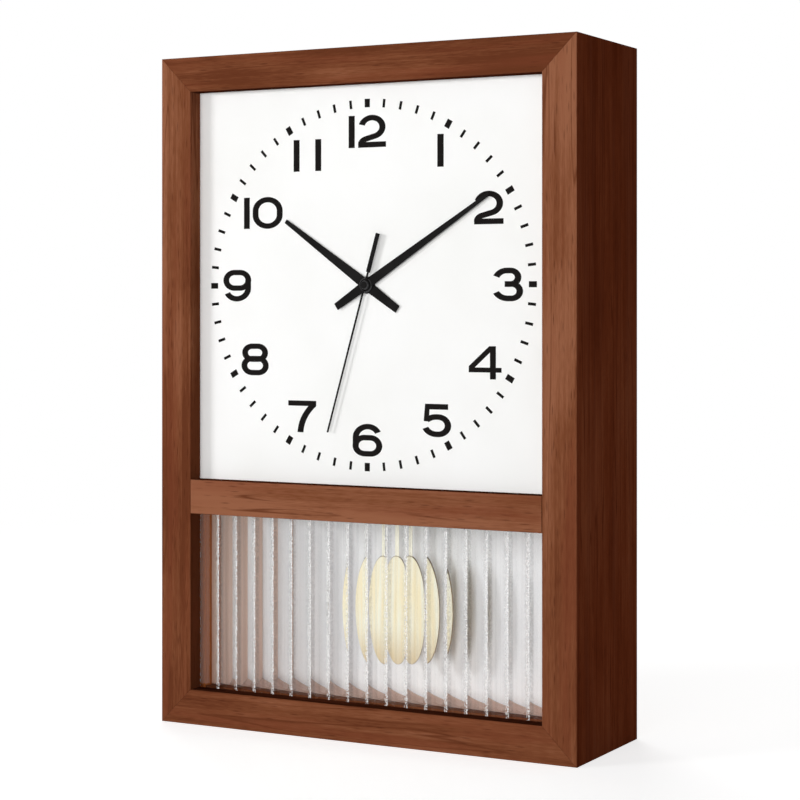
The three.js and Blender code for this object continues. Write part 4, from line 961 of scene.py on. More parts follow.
def seven(strokes):
    stroke(strokes, 12.6, 15.0, 223.5).arc(22.0, 44)
    trim(strokes[-1], 0, 0, 13.2, DIGIT_HEIGHT)
    stroke(strokes, 0, 15.05, 0, nib=2.7).line(13.2)


def eight(strokes):
    stadium(strokes, 6.5, 11.7, 4.86, 3.4)
    stadium(strokes, 6.5, 4.98, 5.2, 3.68)


def nine(strokes):
    six(strokes)
    half_turn = Matrix.Rotation(math.radians(180), 3, "Y")
    for bm in strokes:
        bmesh.ops.rotate(bm, cent=(6.72, 0, DIGIT_MIDDLE), matrix=half_turn, verts=bm.verts[:])


DIGITS = (zero, one, two, three, four, five, six, seven, eight, nine)
print("digits ready:", ", ".join(digit.__name__ for digit in DIGITS))

# %% Numerals on the dial: how far each is nudged off its ring, and its digits with the left side of each
NUMERAL_RING = 78.3
INK_STEP = 0.02
NUMERALS = {
    1: (2.6, -0.7, ((1, -1.65),)),
    2: (0.8, -1.2, ((2, -8.0),)),
    3: (0.8, 0.0, ((3, -8.1),)),
    4: (-1.2, 0.5, ((4, -8.95),)),
    5: (0.5, 0.0, ((5, -7.8),)),
    6: (0.1, -0.6, ((6, -8.6),)),
    7: (0.5, 0.0, ((7, -8.3),)),
    8: (0.4, 0.5, ((8, -8.2),)),
    9: (-0.3, 0.0, ((9, -8.35),)),
    10: (5.4, -1.2, ((1, -11.8), (0, -6.4))),
    11: (3.6, -0.7, ((1, -8.2), (1, 4.8))),
    12: (0.0, -0.1, ((1, -10.9), (2, -5.3))),
}


def joined(*parts):
    whole = bmesh.new()
    for part in parts:
        mesh = bpy.data.meshes.new("part")
        part.to_mesh(mesh)
        part.free()
        whole.from_mesh(mesh)
        bpy.data.meshes.remove(mesh)
    return whole


def digit_at(digit, x, z):
    strokes = []
    DIGITS[digit](strokes)
    widened = Matrix.Translation((x, DIAL_LOW.y, z)) @ Matrix.Scale(WIDEN, 4, (1, 0, 0))
    return [placed(thicken(bm, (0, -INK - layer * INK_STEP, 0)), widened) for layer, bm in enumerate(strokes)]


ink_strokes = []
for hour, (nudge_x, nudge_z, digits) in NUMERALS.items():
    angle = FULL_TURN / HOURS * hour
    ring_x = NUMERAL_RING * math.sin(angle) + nudge_x
    ring_z = HAND_AXIS + NUMERAL_RING * math.cos(angle) + nudge_z - DIGIT_MIDDLE
    for digit, left in digits:
        ink_strokes += digit_at(digit, ring_x + left, ring_z)
drawn_piece("numerals", joined(*ink_strokes), [dial_ink], "case", "dial_white")

# %% [markdown]
# ## Hands
# The hands are punched from thin sheet and painted satin black: blades that taper both ways from a round
# boss, and a thin seconds needle with a broad tail and a small cap. A block with its far end scaled gives
# one taper, two of them back to back give a blade, and a fine bevel gives the rolled edge of punched and
# painted sheet. The sloping edges of the bosses get a glossier paint with a lighter colour, a painted
# highlight that draws the thin rings at the hub. Each hand is built pointing at twelve and then turned to
# the time in the photograph.

# %% Hand paint and hand parts
SHEET = 0.4
COLLAR = 0.3
BOSS_RADIUS = 3.8
BOSS_PROUD = 0.12
BOSS_SLOPE = 0.45
EDGE_TILTS = (0.2, 0.98)
HAND_ROUND = 0.1
HUB_STEPS = 64
HAND_PAINTS = {
    "hand_black": ((21, 20, 20), (28, 27, 27), 0.06),
    # painted highlight: lighter and glossier paint on the sloping edges of the bosses
    "hand_edge_painted_glint": ((52, 52, 53), (62, 62, 63), 0.4),
}

hand_paints = [
    coated(
        name, (dark, light), cloud_mm=9.0, grain_mm=0.25, gloss=(0.42, 0.16), relief=(0.015, 0.4),
        detail=(1.0, 2.0), Specular_IOR_Level=shine,
    )
    for name, (dark, light, shine) in HAND_PAINTS.items()
]


def blade(bm, front, start, end, start_width, end_width):
    half = start_width / 2
    corners = block(bm, (-half, front, start), (half, front + SHEET, end))
    far_end = [vert for vert in corners if vert.co.z > (start + end) / 2]
    bmesh.ops.scale(bm, vec=(end_width / start_width, 1, 1), verts=far_end)


def disc(bm, front, rear, radius, front_radius=None):
    lie_flat = Matrix.Translation((0, (front + rear) / 2, 0)) @ Matrix.Rotation(math.radians(90), 4, "X")
    narrow = radius if front_radius is None else front_radius
    bmesh.ops.create_cone(
        bm, cap_ends=True, segments=HUB_STEPS, radius1=radius, radius2=narrow, depth=rear - front,
        matrix=lie_flat,
    )


def on_hub_edge(face):
    centre = face.calc_center_median()
    least, most = EDGE_TILTS
    return math.hypot(centre.x, centre.z) < BOSS_RADIUS and least < abs(face.normal.y) < most


def hand_piece(name, bm, turns, body, node):
    choose_finishes(tidy(soften(bm, HAND_ROUND, 2)), on_hub_edge)
    placed(bm, Matrix.Translation((0, 0, HAND_AXIS)) @ Matrix.Rotation(FULL_TURN * turns, 4, "Y"))
    drawn_piece(name, bm, hand_paints, body, "hand_black", node)


# %% Hour and minute hands
SHOWN_HOURS, SHOWN_MINUTES, SHOWN_SECONDS = 10, 9, 32.7
HOUR_TAIL, HOUR_TIP = 21.8, 58.5
HOUR_WIDTHS = (4.0, 5.6, 2.2)
HOUR_COLLAR_RADIUS = 3.3
MINUTE_TAIL, MINUTE_TIP = 20.6, 82.4
MINUTE_WIDTHS = (3.8, 5.0, 1.8)
MINUTE_COLLAR_RADIUS = 2.3


def bossed_hand(node, tail, tip, widths, collar_radius):
    front = drawn_box(node)[0].y
    tail_width, width, tip_width = widths
    bm = bmesh.new()
    blade(bm, front, 0, tip, width, tip_width)
    blade(bm, front, -tail, 0, tail_width, width)
    merge(bm)
    inside = [face for face in bm.faces if all(abs(vert.co.z) < MERGE for vert in face.verts)]
    bmesh.ops.delete(bm, geom=inside, context="FACES")
    disc(bm, front - BOSS_PROUD, front + SHEET, BOSS_RADIUS, BOSS_RADIUS - BOSS_SLOPE)
    disc(bm, front + SHEET, front + SHEET + COLLAR, collar_radius)
    return bm


minutes_shown = SHOWN_MINUTES + SHOWN_SECONDS / 60
hours_shown = SHOWN_HOURS + minutes_shown / 60
hour_bm = bossed_hand("hour_hand", HOUR_TAIL, HOUR_TIP, HOUR_WIDTHS, HOUR_COLLAR_RADIUS)
hand_piece("hour_pointer", hour_bm, hours_shown / HOURS, "hour", "hour_hand")
minute_bm = bossed_hand("minute_hand", MINUTE_TAIL, MINUTE_TIP, MINUTE_WIDTHS, MINUTE_COLLAR_RADIUS)
hand_piece("minute_pointer", minute_bm, minutes_shown / MINUTES, "minute", "minute_hand")

# %% Second hand
SECOND_TIP = 78.5
SECOND_WIDTH, SECOND_TIP_WIDTH = 1.0, 0.9
WEIGHT_FROM, WEIGHT_TO = 6.8, 27.2
WEIGHT_WIDTH = 2.3
CAP_HEIGHT = 0.8
CAP_RADIUS, CAP_TOP_RADIUS = 2.4, 1.9
SECOND_COLLAR_RADIUS = 1.35

cap_front = drawn_box("second_hand")[0].y
second_front = cap_front + CAP_HEIGHT
second_rear = second_front + SHEET
second_bm = bmesh.new()
blade(second_bm, second_front, -WEIGHT_FROM, SECOND_TIP, SECOND_WIDTH, SECOND_TIP_WIDTH)
blade(second_bm, second_front, -WEIGHT_TO, -WEIGHT_FROM, WEIGHT_WIDTH, WEIGHT_WIDTH)
disc(second_bm, cap_front, second_rear, CAP_RADIUS, CAP_TOP_RADIUS)
disc(second_bm, second_rear, second_rear + COLLAR / 2, SECOND_COLLAR_RADIUS)
hand_piece("second_pointer", second_bm, SHOWN_SECONDS / MINUTES, "second", "second_hand")

# %% [markdown]
# ## Reeded glass
# Rolled glass with hollow flutes on its front. Each flute is a weak lens that spreads what is behind it,
# which is why the bob breaks up into slices. That look can't be painted: the section is drawn with one arc
# for each flute, extruded to a solid pane, and its ridges are rounded a little. Rolled glass is never quite
# clear. A second shader, mixed in by the distance from the ridge, frosts the ridges to bright stippled
# lines, with a fainter stipple before each. The colour of the glass carries painted shade: it is darker
# after each ridge, and has dark specks in the stipple before it, for the dark that the steep flanks show;
# and faint streaks, the reams of the melt, run down the pane.

# %% Glass finish, with each zone from where it starts to where it is full, in millimetres
FLUTES = 18
OPENING = CASE_WIDTH - 2 * FRAME_FACE
PITCH = OPENING / FLUTES
FLUTE_DEPTH = 1.6
RIDGE_ROUND = 0.3
GLASS_LOW, GLASS_HIGH = drawn_box("reeded_glass")
GLASS_CLEAR = (0.985, 0.993, 0.99, 1.0)
# tint of the painted shade after and before each ridge, and of the reams
GLASS_SHADE_AND_REAM_TINT = (0.56, 0.56, 0.565, 1.0)
GLASS_FROST = (0.9, 0.905, 0.9, 1.0)
STIPPLE = (0.9, 0.9, 0.9)
WANDER = (1.2, 1.2, 1.2)
WANDER_REACH = 0.7
REAMS = (1.7, 1.7, 180.0)
RIPPLE = (6.0, 6.0, 70.0)
FLUTED_ZONE = (2.6, 2.0)
OPENING_ZONE = (0.4, 1.2)
RIDGE_ZONE = (0.92, 0.62)
PAINTED_SHADE_ZONE = (2.8, 1.5)
PAINTED_SPECK_ZONE = (4.2, 1.9)
STIPPLED_ZONE = (2.3, 1.2)


def zone(distance, limits):
    start, full = limits
    return between(distance, start * MM, full * MM)


def glass_finish():
    finish = new_finish("reeded_glass")
    point = object_point(finish)
    parts = finish.add("ShaderNodeSeparateXYZ", inputs={"Vector": point})
    half_opening = OPENING / 2 * MM
    past_ridge = finish.maths("FLOORED_MODULO", parts.output("X") + half_opening, PITCH * MM)
    to_next = PITCH * MM - past_ridge
    from_side = half_opening - finish.maths("ABSOLUTE", parts.output("X"), 0.0)
    at_front = zone(parts.output("Y") - (GLASS_LOW.y + FRONT_Y) * MM, FLUTED_ZONE)
    within = zone(from_side, OPENING_ZONE)
    grains = between(noise(point, STIPPLE, detail=0.0), 0.46, 0.56)
    wander = noise(point, WANDER, detail=1.0) * WANDER_REACH * MM
    ridge = zone(finish.maths("MINIMUM", past_ridge, to_next) + wander, RIDGE_ZONE) * within
    stippled = (1 - ridge) * zone(to_next, STIPPLED_ZONE) * grains
    frosted = (ridge * (grains * 0.6 + 0.25) + stippled * 0.55) * at_front
    # painted shade: the glass is darker after each ridge, for the dark band that the steep flank shows
    painted_flank_shade = zone(past_ridge, PAINTED_SHADE_ZONE) * (1 - grains * 0.4)
    # painted shade: dark specks in the stipple before each ridge
    painted_specks = zone(to_next, PAINTED_SPECK_ZONE) * (1 - grains) * 0.5
    reams = between(noise(point, REAMS), 0.46, 0.64)
    shade = finish.maths("MAXIMUM", painted_flank_shade, painted_specks) * (1 - ridge) * within + reams * 0.22
    clear = finish.add(
        "ShaderNodeBsdfPrincipled",
        inputs={
            "Base Color": mixed(shade * at_front, GLASS_CLEAR, GLASS_SHADE_AND_REAM_TINT), "Roughness": 0.015,
            "IOR": 1.5, "Transmission Weight": 1.0,
            "Normal": bump(noise(point, RIPPLE, detail=1.0), 0.05, 0.25),
        },
    )
    frost = finish.add("ShaderNodeBsdfPrincipled", inputs={"Base Color": GLASS_FROST, "Roughness": 0.35})
    return end(finish, finish.add("ShaderNodeMixShader", inputs={0: frosted, 1: clear, 2: frost}))


print("flutes:", FLUTES, "pitch", round(PITCH, 2), "mm")

# %% Glass pane
FLUTE_STEP = 3.0
flute_radius = ((PITCH / 2) ** 2 + FLUTE_DEPTH**2) / (2 * FLUTE_DEPTH)
flute_reach = math.degrees(math.asin(PITCH / 2 / flute_radius))
glass_size = GLASS_HIGH - GLASS_LOW
margin = (glass_size.x - OPENING) / 2

glass_bm = bmesh.new()
glass_pen = Pen(glass_bm, GLASS_LOW.x, GLASS_LOW.y, 0, plane=TOP_VIEW).line(margin)
for flute in range(FLUTES):
    glass_pen.turn(flute_reach).arc(flute_radius, -2 * flute_reach, FLUTE_STEP).turn(flute_reach)
glass_pen.line(margin).turn(90).line(glass_size.y).turn(90).line(glass_size.x).turn(90).line(glass_size.y)
merge(glass_bm)
bmesh.ops.contextual_create(glass_bm, geom=glass_bm.edges[:])
thicken(glass_bm, (0, 0, glass_size.z))
placed(glass_bm, Matrix.Translation((0, 0, GLASS_LOW.z)))
soften(glass_bm, RIDGE_ROUND, edges=edges_along(glass_bm, ALONG_Z))
pane = drawn_piece("reeded_pane", glass_bm, [glass_finish()], "case", "reeded_glass", "reeded_glass")
pane.visible_shadow = False
pane.visible_diffuse = False

# %% [markdown]
# ## Pendulum
# The bob is a pressed dome of pale brass with a rolled rim, closed behind by a flat disc, on a flat rod. A
# sphere cut flat would bulge too much, so the dome's section is one shallow arc, spun about the bob's own
# axis. Towards the lower edge the brass is deeper in tone, a painted reflection of the brown floor of the
# case.

# %% Pale brass
BOB_LOW, BOB_HIGH = drawn_box("bob_front")
# painted reflection: the brown tone that the lower part of the bob takes from the floor of the case
FLOOR_REFLECTION_TONE = paint(214, 178, 116)
REFLECTION_FROM = BOB_LOW.z * 0.6 + BOB_HIGH.z * 0.4
REFLECTION_FULL = BOB_LOW.z
BRASS_BRUSH = (14.0, 4.0, 0.22)
BRASS_CLOUD = (7.0, 16.0, 45.0)


def brass_finish(name, dull, bright, metallic):
    finish = new_finish(name)
    point = object_point(finish)
    brushed = noise(point, BRASS_BRUSH)
    toned = ramp(noise(point, BRASS_CLOUD), (0.36, paint(*dull)), (0.62, paint(*bright)))
    height = finish.add("ShaderNodeSeparateXYZ", inputs={"Vector": point}, output="Z")
    # painted reflection: darker towards the lower edge of the bob
    painted_reflection = between(height, REFLECTION_FROM * MM, REFLECTION_FULL * MM)
    return skin(
        finish, Base_Color=mixed(painted_reflection * 0.45, toned, FLOOR_REFLECTION_TONE), Metallic=metallic,
        Roughness=0.36 + brushed * 0.14, Normal=bump(brushed, 0.01, 0.25), Specular_IOR_Level=0.3,
    )


pale_brass = brass_finish("pale_brass", (254, 241, 200), (255, 252, 230), 0.05)
rod_brass = brass_finish("rod_brass", (255, 251, 226), (255, 254, 238), 0.05)
# painted shade: a dark brass on the rim of the bob, for its side wall in shadow
brass_rim_shade = brass_finish("brass_rim_shade", (128, 98, 52), (152, 120, 70), 0.6)

# %% Bob and rod
BOB_RADIUS = (BOB_HIGH.x - BOB_LOW.x) / 2
BOB_CENTRE = (BOB_HIGH.z + BOB_LOW.z) / 2
BOB_DOME = 3.6
BOB_STEPS = 144
RIM_ROUND = 0.7
RIM_TILT = 0.8
DOME_STEP, RIM_STEP = 1.0, 12.0
ROD_ROUND = 0.2
AXIS_Y, AXIS_Z = (0, 1, 0), (0, 0, 1)

dome_reach = BOB_RADIUS - RIM_ROUND
dome_radius = (dome_reach**2 + BOB_DOME**2) / (2 * BOB_DOME)
dome_angle = math.degrees(math.asin(dome_reach / dome_radius))
bob_bm = bmesh.new()
bob_pen = Pen(bob_bm, 0, BOB_LOW.y, 0, plane=TOP_VIEW).arc(dome_radius, dome_angle, DOME_STEP)
bob_pen.arc(RIM_ROUND, 90 - dome_angle, RIM_STEP)
bob_pen.line(BOB_HIGH.y - bob_pen.place.y).turn(90)
bob_pen.line(bob_pen.place.x)
placed(spun(bob_bm, AXIS_Y, BOB_STEPS), Matrix.Translation((0, 0, BOB_CENTRE)))
# the rim faces take the dark brass, a painted shade outline
choose_finishes(bob_bm, lambda face: abs(face.normal.y) < RIM_TILT)
drawn_piece("bob", bob_bm, [pale_brass, brass_rim_shade], "pendulum", "pale_brass", "bob_front", "bob_back")
softened_copy("bob_rod", "pendulum_rod", ROD_ROUND, rod_brass, "pendulum", "pale_brass")

# %% [markdown]
# ## Back of the case
# Behind, a thin board closes the case. Its inner face is white, and that is the pale ground one sees
# through the glass, while the outside is bare brown hardboard with pressed fibres. The opening for the cell
# and the keyhole are part of the outline, so one fill and one extrusion make the panel with its holes.

# %% Back finishes
PRESSED_FIBRES = (0.5, 0.5, 2.2)
CROSSING_FIBRES = (2.4, 0.5, 0.5)
HARDBOARD_CLOUD = (45.0, 45.0, 45.0)


def hardboard_finish():
    finish = new_finish("back_board")
    point = object_point(finish)
    fibres = noise(point, PRESSED_FIBRES, detail=4.0, roughness=0.65)
    crossing = noise(point, CROSSING_FIBRES, detail=4.0, roughness=0.65)
    tone = fibres * 0.4 + crossing * 0.35 + noise(point, HARDBOARD_CLOUD) * 0.25
    stops = ((0.32, paint(98, 70, 46)), (0.5, paint(132, 100, 70)), (0.68, paint(160, 128, 94)))
    return skin(
        finish, Base_Color=ramp(tone, *stops), Roughness=0.82, Specular_IOR_Level=0.25,
        Normal=bump(fibres + crossing, 0.1, 0.5),
    )


hardboard = hardboard_finish()
board_inside = coated(
    "back_board_inside", ((230, 233, 236), (238, 240, 242)), cloud_mm=50.0, grain_mm=0.8, gloss=(0.6, 0.15),
    Specular_IOR_Level=0.3,
)

# %% Back panel
BACK_LOW, BACK_HIGH = drawn_box("back_panel")
BACK_ROUND = 0.3
ACCESS_HALF = 42.0
ACCESS_BOTTOM, ACCESS_TOP = 137.4, 271.4
ACCESS_ROUND = 10.0
KEYHOLE_BASE = 316.4
KEYHOLE_RADIUS, KEYHOLE_SLOT, KEYHOLE_RISE = 4.8, 5.0, 7.0
HEAD_ROOM = 2.0


def rounded_rectangle(bm, left, bottom, right, top, radius):
    pen = Pen(bm, left + radius, bottom, 0)
    for side_length in (right - left, top - bottom) * 2:
        pen.line(side_length - 2 * radius).arc(radius, 90)


def keyhole(bm, spare):
    radius = KEYHOLE_RADIUS + spare
    half_slot = KEYHOLE_SLOT / 2 + spare
    meet = math.degrees(math.asin(half_slot / radius))
    shoulder = radius * math.cos(math.radians(meet))
    neck = KEYHOLE_RISE + spare - shoulder
    pen = Pen(bm, half_slot, KEYHOLE_BASE + shoulder, 90)
    pen.line(neck).arc(half_slot, 180).line(neck)
    pen.turn(-90 + meet).arc(radius, 360 - 2 * meet)


panel_bm = bmesh.new()
rectangle(panel_bm, BACK_LOW.x, BACK_LOW.z, BACK_HIGH.x, BACK_HIGH.z)
rounded_rectangle(panel_bm, -ACCESS_HALF, ACCESS_BOTTOM, ACCESS_HALF, ACCESS_TOP, ACCESS_ROUND)
keyhole(panel_bm, HEAD_ROOM)
soften(plate(panel_bm, BACK_LOW.y, BACK_HIGH.y), BACK_ROUND, 2)
choose_finishes(panel_bm, lambda face: face.normal.y < -FACING)
drawn_piece("back_cover", panel_bm, [hardboard, board_inside], "case", "back_board", "back_panel")

# %% [markdown]
# ## Hanger plate and screws
# A zinc plate with a keyhole takes the wall screw. It and the back panel are held by slotted pan head
# screws. A slot is the one cut that a turned shape can't have, so the top of the head is sawn off beside
# the slot and mirrored to its other side.

# %% Bright metals
DULLER = 0.86
METAL_CLOUD = (5.0, 5.0, 5.0)


def metal_finish(name, tone, streak_mm, least_roughness):
    finish = new_finish(name)
    point = object_point(finish)
    streaks = noise(point, streak_mm)
    cloud = noise(point, METAL_CLOUD)
    tones = (paint(*(round(level * DULLER) for level in tone)), paint(*tone))
    return skin(
        finish, Base_Color=ramp(cloud * 0.6 + streaks * 0.4, *zip(SOFT_STOPS, tones)), Metallic=1.0,
        Roughness=least_roughness + streaks * 0.2, Normal=bump(streaks, 0.01, 0.3),
    )


screw_steel = metal_finish("steel", (192, 194, 198), (0.2, 0.2, 0.2), 0.25)
zinc = metal_finish("zinc_steel", (206, 202, 186), (6.0, 0.3, 0.3), 0.3)

# %% Hanger plate
HANGER_LOW, HANGER_HIGH = drawn_box("hanger_plate")
HANGER_CORNER = 3.0
HANGER_ROUND = 0.2

hanger_bm = bmesh.new()
rounded_rectangle(hanger_bm, HANGER_LOW.x, HANGER_LOW.z, HANGER_HIGH.x, HANGER_HIGH.z, HANGER_CORNER)
keyhole(hanger_bm, 0.0)
soften(plate(hanger_bm, HANGER_LOW.y, HANGER_HIGH.y), HANGER_ROUND, 2)
drawn_piece("wall_hanger_plate", hanger_bm, [zinc], "case", "zinc_steel", "hanger_plate")

# %% Screws, each with the turn of its slot in degrees
SCREW_HEAD = 3.0
SCREW_SHANK = 1.4
SCREW_POINT = 0.7
POINT_SLOPE = 60.0
HEAD_HEIGHT = 1.6
SLOT_WIDTH = 0.8
SLOT_DEPTH = 0.7
SLOT_FLOOR = HEAD_HEIGHT - SLOT_DEPTH
SCREW_STEPS = 40
SCREWS = {
    "hanger_screw_left": 17.0, "hanger_screw_right": -24.0,
    "back_screw_lower_left": 31.0, "back_screw_lower_right": 74.0, "back_screw_middle_left": -12.0,
    "back_screw_middle_right": 52.0, "back_screw_upper_left": 88.0, "back_screw_upper_right": 5.0,
    "movement_screw_left": 40.0, "movement_screw_right": -63.0,
}


def screw_shank(length):
    bm = bmesh.new()
    pen = Pen(bm, 0, -length, 0, plane=TOP_VIEW).line(SCREW_POINT).turn(POINT_SLOPE)
    pen.line((SCREW_SHANK - SCREW_POINT) / math.cos(math.radians(POINT_SLOPE))).turn(90 - POINT_SLOPE)
    pen.line(-pen.place.y).turn(-90).line(SCREW_HEAD - SCREW_SHANK).turn(90)
    pen.line(SLOT_FLOOR).turn(90).line(SCREW_HEAD)
    return spun(bm, AXIS_Y, SCREW_STEPS)


def screw_crown():
    bm = bmesh.new()
    pen = Pen(bm, 0, SLOT_FLOOR, 0, plane=TOP_VIEW).line(SCREW_HEAD).turn(90)
    pen.arc(SLOT_DEPTH, 90).line(SCREW_HEAD - SLOT_DEPTH)
    spun(bm, AXIS_Y, SCREW_STEPS)
    saw(bm, (0, 0, SLOT_WIDTH / 2), (0, 0, -1))
    bmesh.ops.mirror(bm, geom=everything(bm), axis="Z", merge_dist=-1.0)
    return tidy(bm)


for node, slot_angle in SCREWS.items():
    low, high = drawn_box(node)
    seat = high.y - HEAD_HEIGHT
    screw_bm = joined(screw_shank(seat - low.y), screw_crown())
    screw_place = Matrix.Translation(((low.x + high.x) / 2, seat, (low.z + high.z) / 2))
    placed(screw_bm, screw_place @ Matrix.Rotation(math.radians(slot_angle), 4, "Y"))
    drawn_piece(f"slotted_{node}", screw_bm, [screw_steel], "case", "steel", node)

# %% [markdown]
# ## Beads
# Thin strips of wood press the dial and the glass against the lip. Those of the dial are hidden and stay
# bare. Those of the glass show through it: the uprights are oiled, and the one at the bottom has the stain
# of the board that it lies on.

# %% Wooden beads
BEAD_ROUND = 0.4
BEADS = {
    "dial_bead_left": raw_upright, "dial_bead_right": raw_upright,
    "glass_bead_left": oiled_upright, "glass_bead_right": oiled_upright,
    "dial_bead_top": raw_cross, "glass_bead_bottom": bottom_wood,
}

for node, bead_wood in BEADS.items():
    softened_copy(f"{node}_strip", node, BEAD_ROUND, bead_wood, "case", "raw_wood")

# %% [markdown]
# ## Movement
# The quartz movement is a moulded black box, seen through the opening in the back. Its shape is right in
# the solids, so the pieces are copies with their moulded edges rounded. The finish has the fine even
# texture that a spark-eroded mould leaves.

# %% Moulded plastics
LIGHTER, LIFT = 1.12, 3


def moulded(name, tone, texture_mm, depth_mm, roughness):
    lighter = [min(255, round(level * LIGHTER + LIFT)) for level in tone]
    return coated(
        name, (tone, lighter), cloud_mm=20.0, grain_mm=texture_mm, gloss=(roughness, 0.15),
        relief=(depth_mm, 0.5), Specular_IOR_Level=0.4,
    )


black_plastic = moulded("black_plastic", (27, 27, 29), 0.35, 0.03, 0.45)
wheel_plastic = moulded("wheel_plastic", (232, 227, 212), 0.5, 0.01, 0.35)
laminate = moulded("board_green", (44, 104, 66), 0.6, 0.02, 0.4)

# %% Movement housing
MOULDED_ROUND = 0.25
TURNED_ROUND = 0.12

softened_copy("movement_box", "movement_front_shell", MOULDED_ROUND, black_plastic, "case", "black_plastic")
softened_copy("movement_lid", "movement_rear_cover", MOULDED_ROUND, black_plastic, "case", "black_plastic")
softened_copy("set_knob", "setting_knob", TURNED_ROUND, black_plastic, "setting", "black_plastic")
softened_copy("drive_lever", "pendulum_lever", MOULDED_ROUND, black_plastic, "pendulum", "black_plastic")
softened_copy("lever_pin", "pivot_pin", TURNED_ROUND, screw_steel, "case", "steel")

# %% [markdown]
# ## Cell, contacts and spring
# The cell is turned from one section like a real can: a rolled bead at each end, a plain sleeve between
# them and a small cap. The spring is one wire that winds in towards the cell; a curve with a round bevel
# follows that path best, and it becomes a mesh before it is placed.

# %% Cell
CELL_LOW, CELL_HIGH = drawn_box("battery")
CELL_RADIUS = (CELL_HIGH.z - CELL_LOW.z) / 2
CELL_CAP_RADIUS, CELL_CAP = 2.7, 1.3
CELL_ROUND, CAP_ROUND = 0.8, 0.4
CELL_STEPS = 72
SLEEVE_START, SLEEVE_SHORT = 0.3, 0.6

cell_wrap = coated(
    "cell_wrap", ((52, 72, 116), (60, 82, 128)), cloud_mm=12.0, grain_mm=0.4, gloss=(0.26, 0.12),
    Coat_Weight=0.3,
)
can_length = CELL_HIGH.x - CELL_LOW.x - CELL_CAP


def off_sleeve(face):
    return not SLEEVE_START < face.calc_center_median().z < can_length - SLEEVE_SHORT


cell_bm = bmesh.new()
cell_pen = Pen(cell_bm, 0, 0, 0).line(CELL_RADIUS - CELL_ROUND).arc(CELL_ROUND, 90)
cell_pen.line(can_length - 2 * CELL_ROUND).arc(CELL_ROUND, 90)
cell_pen.line(CELL_RADIUS - CELL_ROUND - CELL_CAP_RADIUS).turn(-90)
cell_pen.line(CELL_CAP - CAP_ROUND).arc(CAP_ROUND, 90).line(CELL_CAP_RADIUS - CAP_ROUND)
spun(cell_bm, AXIS_Z, CELL_STEPS)
choose_finishes(cell_bm, off_sleeve)
cell_middle = (CELL_LOW + CELL_HIGH) / 2
cell_place = Matrix.Translation((CELL_LOW.x, cell_middle.y, cell_middle.z))
placed(cell_bm, cell_place @ Matrix.Rotation(math.radians(90), 4, "Y"))
drawn_piece("cell", cell_bm, [cell_wrap, screw_steel], "case", "cell_wrap", "battery")

# %% Contact spring
SPRING_LOW, SPRING_HIGH = drawn_box("battery_spring")
SPRING_RADIUS, SPRING_TIP_RADIUS = 3.2, 2.0
SPRING_WIRE = 0.35
SPRING_CURLS = 4
CURL_STEPS = 28
WIRE_ROUNDNESS = 3

spring_data = bpy.data.curves.new("spring_wire", "CURVE")
spring_data.dimensions = "3D"
spring_data.bevel_depth = SPRING_WIRE * MM
spring_data.bevel_resolution = WIRE_ROUNDNESS
spring_data.use_fill_caps = True
winding = spring_data.splines.new("POLY")
winding.points.add(SPRING_CURLS * CURL_STEPS)
spring_travel = SPRING_HIGH.x - SPRING_LOW.x - 2 * SPRING_WIRE
for step, wire_point in enumerate(winding.points):
    share = step / (SPRING_CURLS * CURL_STEPS)
    turn = FULL_TURN * SPRING_CURLS * share
    radius = SPRING_RADIUS + (SPRING_TIP_RADIUS - SPRING_RADIUS) * share
    x = SPRING_LOW.x + SPRING_WIRE + spring_travel * share
    y = FRONT_Y + cell_middle.y + radius * math.cos(turn)
    z = cell_middle.z + radius * math.sin(turn)
    wire_point.co = (x * MM, y * MM, z * MM, 1.0)
spring_curve = new_object("spring_wire", spring_data)
spring_mesh = bpy.data.meshes.new_from_object(spring_curve)
bpy.data.objects.remove(spring_curve)
spring_bm = bmesh.new()
spring_bm.from_mesh(spring_mesh)
bpy.data.meshes.remove(spring_mesh)
make_piece("contact_spring", tidy(spring_bm, MERGE * MM), [screw_steel], "case", "steel", "battery_spring")

# %% [markdown]
# ## Pieces inside the movement
# The wheels, the motor and the drive coil sit in the closed box. The solids of the wheels have the real
# teeth, so they are shown as they are. Small plates and coils get softened edges, and each gets the finish
# of its own material: nylon, steel, wound copper, green laminate and dark magnet.

# %% Copper and magnet
WIRES_PER_METRE = 1100.0
COPPER_CLOUD = (3.0, 3.0, 3.0)


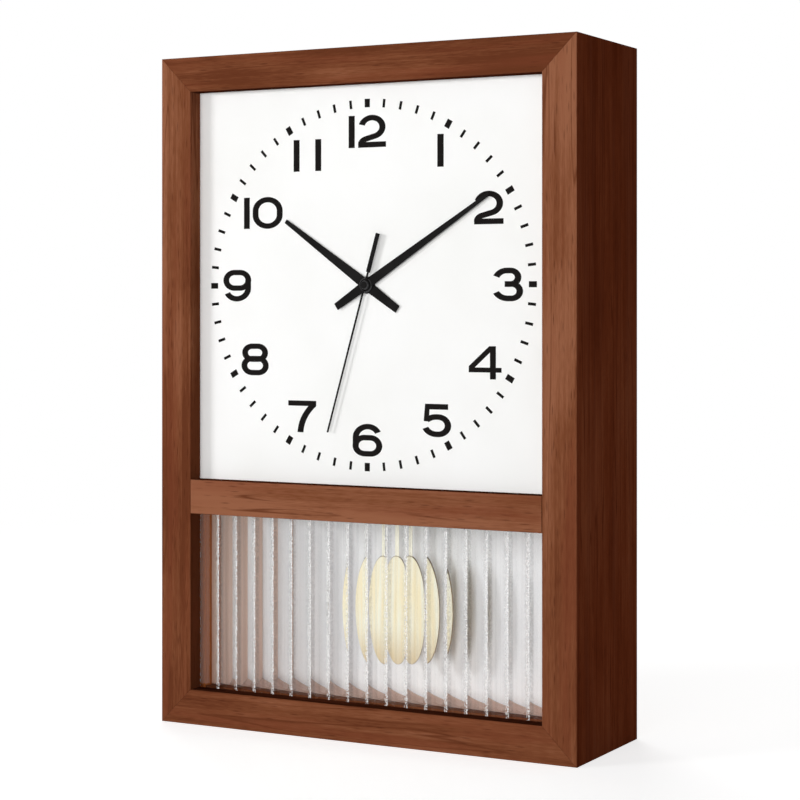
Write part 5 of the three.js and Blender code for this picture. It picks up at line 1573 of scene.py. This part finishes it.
def copper_finish():
    finish = new_finish("copper_wire")
    point = object_point(finish)
    wave = finish.add(
        "ShaderNodeTexWave", {"wave_type": "BANDS", "bands_direction": "X", "wave_profile": "SIN"},
        {"Vector": point, "Scale": WIRES_PER_METRE, "Distortion": 0.2}, output="Fac",
    )
    cloud = noise(point, COPPER_CLOUD)
    colour = ramp(cloud, *zip(WIDE_STOPS, (paint(158, 74, 38), paint(196, 104, 58))))
    return skin(
        finish, Base_Color=colour, Metallic=1.0, Roughness=0.3 + cloud * 0.15,
        Normal=bump(wave, 0.08, 0.7),
    )


copper = copper_finish()
magnet = coated(
    "magnet", ((64, 64, 67), (88, 88, 92)), cloud_mm=0.3, grain_mm=0.3, gloss=(0.42, 0.15),
    relief=(0.03, 0.5), detail=(3.0, 3.0), stops=WIDE_STOPS, Metallic=0.6,
)

# %% Inner pieces
WHEELS = ("rotor_pinion", "hour_wheel", "centre_wheel", "second_wheel", "minute_wheel", "third_wheel")
WHEELS += ("intermediate_wheel",)
PLATE_ROUND = 0.1
ROTOR_ROUND = 0.15
COIL_ROUND = 0.2

for node in WHEELS:
    frame["nodes"][node].data.materials.clear()
    frame["nodes"][node].data.materials.append(wheel_plastic)
    print("wheel keeps its solid:", node)
for node in ("stator_plate", "coil_core", "negative_contact", "positive_contact", "quartz_crystal"):
    softened_copy(f"{node}_piece", node, PLATE_ROUND, screw_steel, "case", "steel")
for node in ("motor_coil", "pendulum_coil"):
    softened_copy(f"{node}_piece", node, COIL_ROUND, copper, "case", "copper_wire")
softened_copy("circuit_board_piece", "circuit_board", PLATE_ROUND, laminate, "case", "board_green")
softened_copy("rotor_magnet_piece", "rotor_magnet", ROTOR_ROUND, magnet, "rotor", "magnet")
softened_copy("pendulum_magnet_piece", "pendulum_magnet", MOULDED_ROUND, magnet, "pendulum", "magnet")

# %% [markdown]
# ## Size
# Dressing the clock must not change its size, so the box of the solids is printed.

# %% Print the box of the solids
print("box of the solids:", [[round(value, 4) for value in corner] for corner in cad_box])
